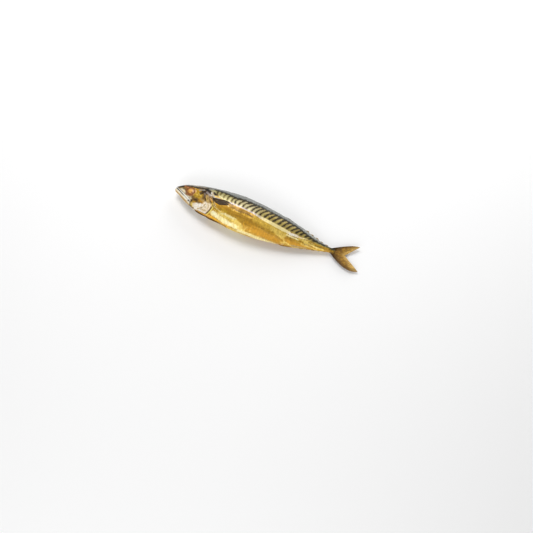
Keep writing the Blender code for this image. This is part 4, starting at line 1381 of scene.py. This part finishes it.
def skin_values(points, turn, ground, slit, rim, side_of_rim):
    """The values that the skin's finish reads at each point. Ground is the cover of the head's plain brown,
    rim the distance behind the rim of the gill cover, and side_of_rim -1 on the cover and 1 behind it."""
    along, up = points[..., 0], points[..., 1]
    nostril = np.full(along.shape, NOWHERE)
    for place, long, high in NOSTRILS:
        nostril = np.minimum(nostril, np.hypot((along / MM - place[0]) / long, (up / MM - place[1]) / high))
    place = skin_place(along, turn)
    arc, whole = arc_from_back(along, turn)
    bar = bar_distance(place[..., 0], place[..., 1], points)
    over_dark = place[..., 1] - np.interp(place[..., 0], DARK_ALONG_MM, DARK_FROM_MM)
    corners = [line_distance(along, up, start, end) / MM - wide for start, end, wide in MOUTH_CORNER_MM]
    from_eye_up = np.where(up > EYE_UP, 1.3, 1.0) * (up - EYE_UP)
    return {
        "place": place.reshape(-1, 3),
        "bands": np.stack([bar, over_dark, (whole - arc) / MM], axis=-1).reshape(-1, 3),
        "flank_marks": brushed(FLANK_MARKS, place[..., 0], place[..., 1], points, 0.0, 41).reshape(-1, 4),
        "head_marks": brushed(HEAD_MARKS, along / MM, up / MM, points, ground, 43).reshape(-1, 4),
        "slit": slit.ravel(),
        "rim": (rim / MM + side_of_rim * 8.0 * smooth(-14.5 * MM, -8.0 * MM, up)).ravel(),
        "mouth_gap": ((up - mouth_up(along)) / MM).ravel(),
        "eye_ring": (np.hypot(along - EYE_ALONG, from_eye_up) / MM).ravel(),
        "nostril": nostril.ravel(),
        "notch": np.minimum.reduce(corners).ravel(),
    }


def head_share(along, turn, is_head):
    """How far the head's ground colour reaches: to the gill slit below, and fading out over the nape."""
    up = body_point(along, turn)[..., 1]
    nape = smooth(6 * MM, 13 * MM, up)
    reach = 12 * MM * smooth(14 * MM, 19 * MM, up)
    return (1 - nape) * is_head + nape * (1 - smooth(60 * MM, 72 * MM, along + reach))


class MACKEREL_OT_head(bpy.types.Operator):
    """Build the head's skin, from the snout to the rims of the gill covers"""

    bl_idname = "mackerel.head"
    bl_label = "Head skin"

    def execute(self, context):
        looks = context.scene.mackerel_head
        turn = np.linspace(0, math.tau, HEAD_COLUMNS, endpoint=False)
        seam = seam_along(turn)
        open_share = slit_strength(turn, seam)
        s = (np.arange(HEAD_ROWS) + 0.6) / (HEAD_ROWS - 0.4)
        s = s * (1 - 0.8 * (1 - s) ** 6)
        along = seam[None, :] * s[:, None]
        base = body_point(along, turn[None, :])
        normal = grid_normals(base)
        ease = smooth(0.0, 2.5 * MM, along)
        relief = head_relief(along, base[..., 1], base, looks)
        off_middle = np.abs(base[..., 2]) / (measure(HALF_WIDTH, along) + 1e-6)
        relief = relief * ease * (0.25 + 0.75 * smooth(0.02, 0.22, off_middle))
        near_nape = smooth(seam - 16 * MM, seam, along) * (1 - open_share)
        relief = relief * (1 - near_nape)
        outer = base + normal * relief[..., None]
        rim_base, rim_normal = outer[-1], normal[-1]
        forward = base[-1] - base[-4]
        forward /= np.linalg.norm(forward, axis=-1, keepdims=True)
        curl = []
        for k in range(1, RIM_ROWS + 1):
            # round the rim first, then forward and down under it
            angle = math.pi * min(k / RIM_ROUND_ROWS, 1.0)
            t = max(k - RIM_ROUND_ROWS, 0) / (RIM_ROWS - RIM_ROUND_ROWS)
            across = math.sin(angle) * RIM_RADIUS - t * RIM_UNDER
            drop = (1 - math.cos(angle)) * RIM_RADIUS + t * (COVER_STEP + SLIT_DEPTH - 2 * RIM_RADIUS)
            curl.append(rim_base + open_share[:, None] * (forward * across - rim_normal * drop))
        points = np.concatenate([outer, np.stack(curl)])
        turns = np.broadcast_to(turn, points.shape[:2])
        alongs = np.concatenate([along, np.broadcast_to(seam, (RIM_ROWS, HEAD_COLUMNS))])
        slit = np.zeros(points.shape[:2])
        slit[-RIM_ROWS + 3 :] = open_share
        slit[-RIM_ROWS + 1 : -RIM_ROWS + 3] = open_share * 0.5
        ground = head_share(alongs, turns, 1.0)
        ground[-RIM_ROWS:] = ground[-RIM_ROWS - 1]
        plain = np.concatenate([base, np.broadcast_to(base[-1], (RIM_ROWS, HEAD_COLUMNS, 3))])
        values = skin_values(plain, turns, ground, slit, alongs - seam[None, :], -1)
        snout = (0.0, section(0.0)[0], 0.0)
        points, faces, values, rings = closed_tube(points, values, HEAD_INSIDE, snout, {"slit": 1.0})
        made = new_piece("head_skin", laid_down(points), faces, skin_of(context.scene), values, rings[-1])
        dress(made)
        return {"FINISHED"}


class MACKEREL_OT_trunk(bpy.types.Operator):
    """Build the trunk's skin, from under the gill covers to the root of the tail"""

    bl_idname = "mackerel.trunk"
    bl_label = "Trunk skin"

    def execute(self, context):
        looks = context.scene.mackerel_skin
        turn = np.linspace(0, math.tau, TRUNK_COLUMNS, endpoint=False)
        seam = seam_along(turn)
        open_share = slit_strength(turn, seam)
        start = seam - RIM_UNDER * open_share - NAPE_LAP * (1 - open_share)
        s = np.arange(TRUNK_ROWS) / (TRUNK_ROWS - 1)
        s = s * (1 - 0.45 * (1 - s) ** 10)
        finish = BODY_END - 0.25 * MM
        along = start[None, :] + (finish - start[None, :]) * s[:, None]
        base = body_point(along, turn[None, :])
        normal = grid_normals(base)
        turns = np.broadcast_to(turn, along.shape)
        arc, whole = arc_from_back(along, turns)
        behind_seam = along - seam[None, :]
        relief = trunk_relief(skin_place(along, turns), base, whole - arc, looks)
        relief = relief * smooth(0.0, 6 * MM, behind_seam) * smooth(0.0, 6 * MM, finish - along)
        # it dips under the gill cover's rim, and a little where it laps under the nape
        sunk = open_share * SLIT_DEPTH * (1 - smooth(-2.0 * MM, 2.6 * MM, behind_seam))
        sunk = sunk + (1 - open_share) * NAPE_LAP * 0.2 * (1 - smooth(-0.7 * NAPE_LAP, 0.0, behind_seam))
        points = base + normal * (relief - sunk)[..., None]
        slit = open_share * (1 - smooth(0.1 * MM, 0.9 * MM, behind_seam))
        values = skin_values(base, turns, head_share(along, turns, 0.0), slit, behind_seam, 1)
        for key in ("mouth_gap", "eye_ring", "nostril", "notch"):
            values[key][:] = NOWHERE
        flesh_end = (BODY_END, section(BODY_END)[0], 0.0)
        points, faces, values, rings = closed_tube(points, values, flesh_end, TRUNK_INSIDE)
        made = new_piece("trunk_skin", laid_down(points), faces, skin_of(context.scene), values, rings[0])
        dress(made)
        return {"FINISHED"}


class MACKEREL_OT_eyes(bpy.types.Operator):
    """Build both eyes as low domes in their sockets"""

    bl_idname = "mackerel.eyes"
    bl_label = "Eyes"

    def execute(self, context):
        finish = eye_finish(context.scene.mackerel_head)
        radius = np.linspace(0, 1, EYE_RINGS + 1)[1:] * EYE_REACH
        share = radius / EYE_REACH
        angle = np.linspace(0, math.tau, EYE_COLUMNS, endpoint=False)
        along = EYE_ALONG + radius[:, None] * np.cos(angle)
        up = EYE_UP + radius[:, None] * np.sin(angle)
        height = -1.9 * MM + 2.5 * MM * np.sqrt(1 - 0.97 * share**2)
        height += 0.30 * MM * (1 - smooth(2.6 * MM, 4.4 * MM, radius))
        uneven = 0.10 * MM * ripples(np.stack([along, up, 0 * up], axis=-1), 6 * MM, 2.5 * MM, 31)
        dome = height[:, None] + uneven * (1 - share[:, None] ** 4)
        ring = np.concatenate([np.repeat(radius / MM, EYE_COLUMNS), np.full(EYE_COLUMNS, EYE_EDGE_MM)])
        for name, side in (("eye_left", 1), ("eye_right", -1)):
            under = flank_point(along[-1], up[-1], np.full(EYE_COLUMNS, -EYE_SUNK), side)
            points = np.concatenate([flank_point(along, up, dome, side), under[None]])
            top = flank_point(EYE_ALONG, EYE_UP, 0.9 * MM, side)
            deep = flank_point(EYE_ALONG, EYE_UP, -EYE_SUNK, side)
            ends = ({"ring": EYE_EDGE_MM}, {"ring": 0.0})
            points, faces, values, _ = closed_tube(points, {"ring": ring}, deep, top, *ends)
            dress(new_piece(name, laid_down(points), faces, finish, values))
        return {"FINISHED"}


def tail_ray(spread, t):
    """Points of the tail fin's middle surface. Spread is 1 at the upper edge and -1 at the lower."""
    share = np.abs(spread)
    upper = spread > 0
    tip = np.where(upper[..., None], UPPER_TIP_MM, LOWER_TIP_MM) * MM
    outer = np.where(upper[..., None], UPPER_BEND_MM, LOWER_BEND_MM) * MM
    root = np.stack([TAIL_ROOT + 0 * spread, -3.1 * MM + 4.0 * MM * spread], axis=-1)
    fork = np.array(TAIL_FORK_MM) * MM
    end = fork + (tip - fork) * share[..., None] ** 1.15
    straight = (root + end) / 2
    control = straight + (outer - straight) * share[..., None] ** 3
    t = t[..., None]
    flat_place = (1 - t) ** 2 * root + 2 * t * (1 - t) * control + t * t * end
    t = t[..., 0]
    height = 7.9 * MM - 3.2 * MM * t + 4.5 * MM * np.maximum(0.0, spread) ** 2 * t * t
    return flat_place, height


class MACKEREL_OT_tail(bpy.types.Operator):
    """Build the forked tail fin with its branching rays"""

    bl_idname = "mackerel.tail"
    bl_label = "Tail fin"

    def execute(self, context):
        across, steps = TAIL_GRID
        spread = np.linspace(-1, 1, across)[:, None] + np.zeros((1, steps))
        t = np.linspace(0, 1, steps)[None, :] + np.zeros((across, 1))
        outward = np.abs(spread)
        fringe = 0.012 * np.sin(spread * TAIL_RAYS * 6.0 + 1.3) + 0.010 * np.sin(spread * TAIL_RAYS * 15.1)
        reach = t * (1 + np.minimum(0.0, fringe * (1 - outward**6) - 0.012) * t**8)
        flat_place, height = tail_ray(spread, reach)
        height = height + 0.495 * MM * np.sin(spread * 9.0 + t * 2.0) * t * (1 - 0.3 * outward)
        # each ray forks once and then once more on its way out
        phase = spread * TAIL_RAYS
        rib, forked, forked_again = (0.5 + 0.5 * np.cos(phase * ways * math.tau) for ways in (1, 2, 4))
        first_fork = smooth(0.42, 0.62, t)
        second_fork = smooth(0.72, 0.86, t)
        ribs = rib * (1 - first_fork) + (forked * (1 - second_fork) + forked_again * second_fork) * first_fork
        joints = 0.5 + 0.5 * np.cos(t * 170.0)
        ridge = (0.24 * ribs**1.4 + 0.04 * joints * ribs * smooth(0.3, 0.5, t)) * MM * (1 - 0.55 * t)
        thick = (0.85 - 0.60 * t**0.5) * MM + 0.75 * MM * smooth(0.90, 0.985, outward) * (1 - 0.8 * t)
        thick *= 0.35 + 0.65 * (1 - smooth(0.985, 1.0, outward))
        root = 1 - smooth(0.0, 0.22, t)
        thick += root * 1.5 * MM * (1 - 0.3 * outward)
        grids = []
        for way in (1, -1):
            level = height + way * (thick / 2 + ridge) - measure(SPINE, flat_place[..., 0])
            grids.append(np.concatenate([flat_place, level[..., None]], axis=-1))
        border = smooth(0.66, 0.98, outward)
        values = {"ray": phase, "reach": t, "edge": np.maximum(border * (1 - t * 0.6), 0.9 * root)}
        thin_fin("tail_fin", grids, values, fin_of(context.scene))
        return {"FINISHED"}


def leaf_fin(name, side, finish, bend):
    """A leaf of rays that lies back on the left flank (side 1) or the right (side -1)."""
    steps, across = PECTORAL_GRID
    t = np.linspace(0, 1, steps)[:, None] + np.zeros((1, across))
    w = np.linspace(-1, 1, across)[None, :] + np.zeros((steps, 1))
    kernel = np.hanning(13)
    kernel /= kernel.sum()
    widths = []
    for reach_mm in (PECTORAL_UPPER_MM, PECTORAL_LOWER_MM):
        width = np.interp(t[:, 0], np.linspace(0, 1, len(reach_mm)), reach_mm) * MM
        widths.append(np.convolve(np.pad(width, 6, mode="edge"), kernel, mode="valid")[:, None])
    frayed = 0.05 + 0.05 * np.sin(w * PECTORAL_RAYS * 0.9 + bend) + 0.03 * np.sin(w * PECTORAL_RAYS * 2.3)
    way = np.subtract(PECTORAL_TIP_MM, PECTORAL_ROOT_MM)
    along = (PECTORAL_ROOT_MM[0] + way[0] * t * (1 - frayed * smooth(0.45, 1.0, t))) * MM
    up = (PECTORAL_ROOT_MM[1] + way[1] * t) * MM + w * np.where(w > 0, *widths)
    ribs = 0.5 + 0.5 * np.cos(w * PECTORAL_RAYS * math.pi)
    inner = 1 - smooth(0.86, 1.0, np.abs(w))
    wave = 0.16 * MM * np.sin(w * 5.0 + t * 7.0 + bend) * smooth(0.2, 0.6, t)
    top = PECTORAL_LIFT * (0.35 + 0.65 * smooth(0.0, 0.35, t)) + PECTORAL_THICK * (0.45 + 0.55 * inner)
    top = top + 0.16 * MM * ribs * inner * (1 - 0.5 * t) + wave
    bottom = top - PECTORAL_THICK * (0.55 + 0.45 * inner) - 0.05 * MM
    grids = [flank_point(along, up, level, side) for level in (top, bottom)]
    values = {"ray": w * PECTORAL_RAYS / 2, "reach": 0.3 + 0.7 * t, "edge": (1 - inner) * 0.5}
    return thin_fin(name, grids, values, finish)


class MACKEREL_OT_pectorals(bpy.types.Operator):
    """Build both pectoral fins, laid back behind the gill covers"""

    bl_idname = "mackerel.pectorals"
    bl_label = "Pectoral fins"

    def execute(self, context):
        finish = fin_of(context.scene, "dark_fin")
        for name, side in (("pectoral_fin_left", 1), ("pectoral_fin_right", -1)):
            leaf_fin(name, side, finish, 3.0 + side)
        return {"FINISHED"}


def edge_leaf(name, finish, start, length, rise, thick, side, away, rays, slant, bend):
    """A folded fin along the back (side 1) or the belly (side -1): rays lying back one on another."""
    steps, across = FOLDED_GRID
    t = np.linspace(0, 1, steps)[:, None] + np.zeros((1, across))
    w = np.linspace(0, 1, across)[None, :] + np.zeros((steps, 1))
    along = start + length * t + slant * rise * w
    tall = rise * np.clip(1.15 * np.sin(math.pi * t**0.6) * (1 - 0.35 * t) - 0.05, 0.0, None)
    edge = measure(BACK if side > 0 else BELLY, along)
    up = side * (edge - 1.8 * MM * (1 - w) + tall * w)
    phase = t * rays - w * 1.6
    ribs = 0.5 + 0.5 * np.cos(phase * math.tau)
    half = thick / 2 * (1 - 0.72 * w) * (0.55 + 0.45 * np.sin(math.pi * t) ** 0.5) + 0.10 * MM * ribs * w
    lean = 0.35 * MM * np.sin(t * 5 + bend) * w
    grids = [np.stack([along, up, way * half + lean - away], axis=-1) for way in (1, -1)]
    return thin_fin(name, grids, {"ray": phase, "reach": 0.25 + 0.6 * w, "edge": w**4 * 0.5}, finish)


class MACKEREL_OT_folded_fins(bpy.types.Operator):
    """Build the fins folded along the back and the belly, and the throat's flap"""

    bl_idname = "mackerel.folded_fins"
    bl_label = "Folded fins"

    def execute(self, context):
        for name, (finish, *sizes, side, away, rays, slant, bend) in FOLDED_FINS_MM.items():
            start, length, rise, thick = (size * MM for size in sizes)
            finish = fin_of(context.scene, finish)
            edge_leaf(name, finish, start, length, rise, thick, side, away * MM, rays, slant, bend)
        return {"FINISHED"}


class Branch(Nodes):
    """A Geometry Nodes tree under construction, with named inputs."""

    def __init__(self, name, inputs):
        super().__init__(bpy.data.node_groups.new(name, "GeometryNodeTree"))
        plugs = self.tree.interface
        plugs.new_socket("Geometry", in_out="INPUT", socket_type="NodeSocketGeometry")
        self.ids = {}
        for label, kind in inputs.items():
            self.ids[label] = plugs.new_socket(label, in_out="INPUT", socket_type="NodeSocket" + kind).identifier
        plugs.new_socket("Geometry", in_out="OUTPUT", socket_type="NodeSocketGeometry")
        self.entry = self.tree.nodes.new("NodeGroupInput")
        self.exit = self.tree.nodes.new("NodeGroupOutput")

    def given(self, label):
        return Wire(self, self.entry.outputs[label])

    def set_out(self, shape, size, smallest, largest):
        """Sets the shape at each base point, turned by its aim and unevenly sized, and closes the tree."""
        aim = self.node("GeometryNodeInputNamedAttribute", {"data_type": "FLOAT_VECTOR"}, {"Name": "aim"})
        turn = self.node("FunctionNodeEulerToRotation", sockets={0: aim})
        draw = {2: smallest, 3: largest, "Seed": self.given("Seed")}
        chance = self.node("FunctionNodeRandomValue", {"data_type": "FLOAT"}, draw, output=1)
        sockets = {"Points": self.given("Geometry"), "Instance": shape, "Rotation": turn, "Scale": size * chance}
        standing = self.node("GeometryNodeInstanceOnPoints", sockets=sockets)
        real = self.node("GeometryNodeRealizeInstances", sockets={0: standing})
        sockets = {"Geometry": real, "Material": self.given("Finish")}
        painted = self.node("GeometryNodeSetMaterial", sockets=sockets)
        self.tree.links.new(painted.socket, self.exit.inputs[0])


def grown(name, base_points, attributes, branch, given):
    """Runs a tree on base points and keeps the result as a plain piece."""
    mesh = bpy.data.meshes.new(name)
    mesh.from_pydata([tuple(point) for point in base_points], [], [])
    store_values(mesh, attributes)
    seedling = bpy.data.objects.new(name + "_base", mesh)
    bpy.context.scene.collection.objects.link(seedling)
    modifier = seedling.modifiers.new("grow", "NODES")
    modifier.node_group = branch.tree
    for label, value in given.items():
        modifier[branch.ids[label]] = value
    bpy.context.view_layer.update()
    seen = seedling.evaluated_get(bpy.context.evaluated_depsgraph_get())
    result = bpy.data.meshes.new_from_object(seen)
    seedling.modifiers.remove(modifier)
    bpy.data.objects.remove(seedling)
    result.name = name
    return dress(linked(name, result))


def finlet_tree():
    """Leaf-shaped blades, one at each base point, each a little different."""
    inputs = {"Length": "Float", "Height": "Float", "Thickness": "Float", "Seed": "Int", "Finish": "Material"}
    branch = Branch("finlets", inputs)
    ball = branch.node("GeometryNodeMeshUVSphere", sockets={"Segments": 20, "Rings": 14, "Radius": 1.0})
    x, y, z = branch.parts(branch.node("GeometryNodeInputPosition"))
    # the blade's foot is broad and its tip leans back, free of the stalk
    lean = y.at_least(0.0) ** 2.0 * 0.55
    length = (x + lean) * (branch.given("Length") * 0.5)
    height = y * (1.0 - (x + 1.0) * 0.28) * branch.given("Height")
    thick = z * (1.0 + (x * 16.0).sine() * 0.18) * branch.given("Thickness")
    shape = branch.node("ShaderNodeCombineXYZ", sockets={0: length, 1: height, 2: thick})
    blade = branch.node("GeometryNodeSetPosition", sockets={"Geometry": ball, "Position": shape})
    size = branch.node("GeometryNodeInputNamedAttribute", {"data_type": "FLOAT"}, {"Name": "size"})
    branch.set_out(blade, size, 0.82, 1.1)
    return branch


class MACKEREL_OT_finlets(bpy.types.Operator):
    """Grow the rows of finlets along both edges of the tail stalk"""

    bl_idname = "mackerel.finlets"
    bl_label = "Finlets"

    def execute(self, context):
        looks = context.scene.mackerel_fins
        branch = finlet_tree()
        number = np.arange(looks.finlets)
        along = FIRST_FINLET + FINLET_PITCH * number
        values = {"size": 1.0 - 0.05 * number, "reach": np.full(len(along), 0.75)}
        for name, column, side, turn, tall, finish in (
            ("finlets_back", BACK, 1, 0.0, 2.9 * MM, "gold_fin"),
            ("finlets_belly", BELLY, -1, math.pi, 1.8 * MM, "painted_fin"),
        ):
            edge = measure(column, along)
            slope = (measure(column, along + MM) - measure(column, along - MM)) / (2 * MM) * side
            points = np.stack([along, side * (edge - FINLET_SUNK), 0 * along], axis=-1)
            values["aim"] = np.stack([turn + 0 * along, 0 * along, np.arctan(slope)], axis=-1)
            given = {"Length": looks.finlet_length, "Height": tall, "Thickness": FINLET_THICK, "Seed": looks.seed}
            given["Finish"] = fin_of(context.scene, finish)
            grown(name, laid_down(points), values, branch, given)
        return {"FINISHED"}


def scale_tree():
    """Small overlapping pore scales, one at each base point."""
    branch = Branch("line_scales", {"Size": "Float", "Seed": "Int", "Finish": "Material"})
    ball = branch.node("GeometryNodeMeshUVSphere", sockets={"Segments": 10, "Rings": 6, "Radius": 1.0})
    flattened = branch.node("GeometryNodeTransform", sockets={"Geometry": ball, "Scale": (1.0, 0.55, 0.10)})
    branch.set_out(flattened, branch.given("Size"), 0.75, 1.15)
    return branch


def line_finish():
    """Silver pore scales, straw yellow towards the tail."""
    paint = Paint("line_scales")
    spot = paint.place()
    x, _, _ = paint.parts(spot)
    grain = paint.noise(spot, 300.0, 2.0)
    rear = paint.smooth(x - SNOUT_X, 0.150, 0.190)
    colour = paint.mix(rear, SCALE_SILVER, SCALE_STRAW)
    colour = paint.mix(paint.smooth(grain, 0.45, 0.65) * 0.5, colour, SCALE_SHADE)
    return paint.finish(
        {
            "Base Color": colour,
            "Roughness": 0.25 + grain * 0.1,
            "Metallic": 0.3,
            "Coat Weight": 0.2,
            "Coat Roughness": 0.12,
        }
    )


class MACKEREL_OT_line_scales(bpy.types.Operator):
    """Set the row of pore scales along the lateral line on both flanks"""

    bl_idname = "mackerel.line_scales"
    bl_label = "Lateral line scales"

    def execute(self, context):
        branch = scale_tree()
        finish = line_finish()
        along = np.linspace(LINE_SCALES_FROM_MM, LINE_SCALES_TO_MM, LINE_SCALES) * MM
        turn = np.full(LINE_SCALES, math.pi * 0.45)
        for _ in range(LINE_SEARCH_STEPS):
            above = skin_place(along, turn)[..., 1] * MM
            turn = turn + above / arc_from_back(along, turn)[1] * math.pi * 0.8
        up = body_point(along, turn)[..., 1]
        sunk = np.full(LINE_SCALES, -LINE_SCALE_SUNK)
        step = 0.4 * MM
        for name, side in (("line_scales_left", 1), ("line_scales_right", -1)):
            here = laid_down(flank_point(along, up, sunk, side))
            ahead = laid_down(flank_point(along + step, up, sunk, side)) - here
            higher = laid_down(flank_point(along, up + step, sunk, side)) - here
            pitch = -np.arctan2(ahead[..., 2], ahead[..., 0])
            roll = np.arctan2(higher[..., 2], higher[..., 1])
            aim = np.stack([roll, pitch, 0 * roll], axis=-1)
            given = {"Size": LINE_SCALE_SIZE, "Seed": 9 + side, "Finish": finish}
            grown(name, here, {"aim": aim}, branch, given)
        return {"FINISHED"}


class MACKEREL_OT_stage(bpy.types.Operator):
    """Set up a plain pale floor, soft studio light and the camera"""

    bl_idname = "mackerel.stage"
    bl_label = "Stage"

    def execute(self, context):
        scene = context.scene
        looks = scene.mackerel_stage
        floor = bpy.data.meshes.new("floor")
        corners = [(FLOOR_REACH * x, FLOOR_REACH * y, 0) for x, y in ((-1, -1), (1, -1), (1, 1), (-1, 1))]
        floor.from_pydata(corners, [], [(0, 1, 2, 3)])
        paint = Paint("pale_floor")
        finish = paint.finish({"Base Color": looks.floor, "Roughness": 0.9, "Specular IOR Level": 0.1})
        floor.materials.append(finish)
        plane = bpy.data.objects.new("floor", floor)
        scene.collection.objects.link(plane)

        world = bpy.data.worlds.new("studio")
        scene.world = world
        world.use_nodes = True
        background = world.node_tree.nodes["Background"]
        background.inputs["Color"].default_value = (1.0, 1.0, 1.0, 1)
        background.inputs["Strength"].default_value = STUDIO_LIGHT
        for name, place, target, size, power in LAMPS:
            light = bpy.data.lights.new(name, "AREA")
            light.size = size
            light.energy = power
            lamp = bpy.data.objects.new(name, light)
            lamp.visible_camera = False
            scene.collection.objects.link(lamp)
            aim_at(lamp, place, target)
        level = math.cos(looks.elevation)
        sine, cosine = math.sin(looks.azimuth), math.cos(looks.azimuth)
        back = np.array((sine * level, -cosine * level, math.sin(looks.elevation)))
        right = np.array((cosine, sine, 0.0))
        place = VIEW_CENTRE + back * looks.distance + right * VIEW_RIGHT + np.cross(back, right) * VIEW_UP
        camera_data = bpy.data.cameras.new("camera")
        camera_data.lens = looks.lens
        camera = bpy.data.objects.new("camera", camera_data)
        scene.collection.objects.link(camera)
        aim_at(camera, place, place - back)
        camera_data.clip_start, camera_data.clip_end = 0.05, 50.0
        scene.camera = camera
        scene.view_settings.view_transform = "Standard"
        scene.view_settings.look = "None"
        return {"FINISHED"}


def aim_at(thing, place, target):
    """Places a lamp or camera and turns it to a target, upright."""
    thing.location = Vector(place)
    way = Vector(target) - Vector(place)
    thing.rotation_mode = "QUATERNION"
    thing.rotation_quaternion = way.to_track_quat("-Z", "Y")


class MACKEREL_PT_panel(bpy.types.Panel):
    """The steps that build the mackerel"""

    bl_idname = "MACKEREL_PT_panel"
    bl_label = "Smoked mackerel"
    bl_space_type = "VIEW_3D"
    bl_region_type = "UI"
    bl_category = "Mackerel"

    def draw(self, context):
        for step in STEPS:
            self.layout.operator(step.bl_idname)
        for name in LOOKS:
            group = getattr(context.scene, name)
            box = self.layout.box()
            for key in group.__annotations__:
                box.prop(group, key)


STEPS = (
    MACKEREL_OT_stage,
    MACKEREL_OT_trunk,
    MACKEREL_OT_head,
    MACKEREL_OT_eyes,
    MACKEREL_OT_tail,
    MACKEREL_OT_pectorals,
    MACKEREL_OT_folded_fins,
    MACKEREL_OT_finlets,
    MACKEREL_OT_line_scales,
)
LOOKS = {
    "mackerel_skin": SkinLooks,
    "mackerel_head": HeadLooks,
    "mackerel_fins": FinLooks,
    "mackerel_stage": StageLooks,
}


def register():
    for kind in (*LOOKS.values(), *STEPS, MACKEREL_PT_panel):
        bpy.utils.register_class(kind)
    for name, kind in LOOKS.items():
        setattr(bpy.types.Scene, name, PointerProperty(type=kind))


def unregister():
    for name in LOOKS:
        delattr(bpy.types.Scene, name)
    for kind in reversed((*LOOKS.values(), *STEPS, MACKEREL_PT_panel)):
        bpy.utils.unregister_class(kind)


def main():
    """Registers the add-on and runs its steps in order."""
    register()
    for step in STEPS:
        getattr(bpy.ops.mackerel, step.bl_idname.split(".")[1])()


if __name__ == "__main__":
    main()
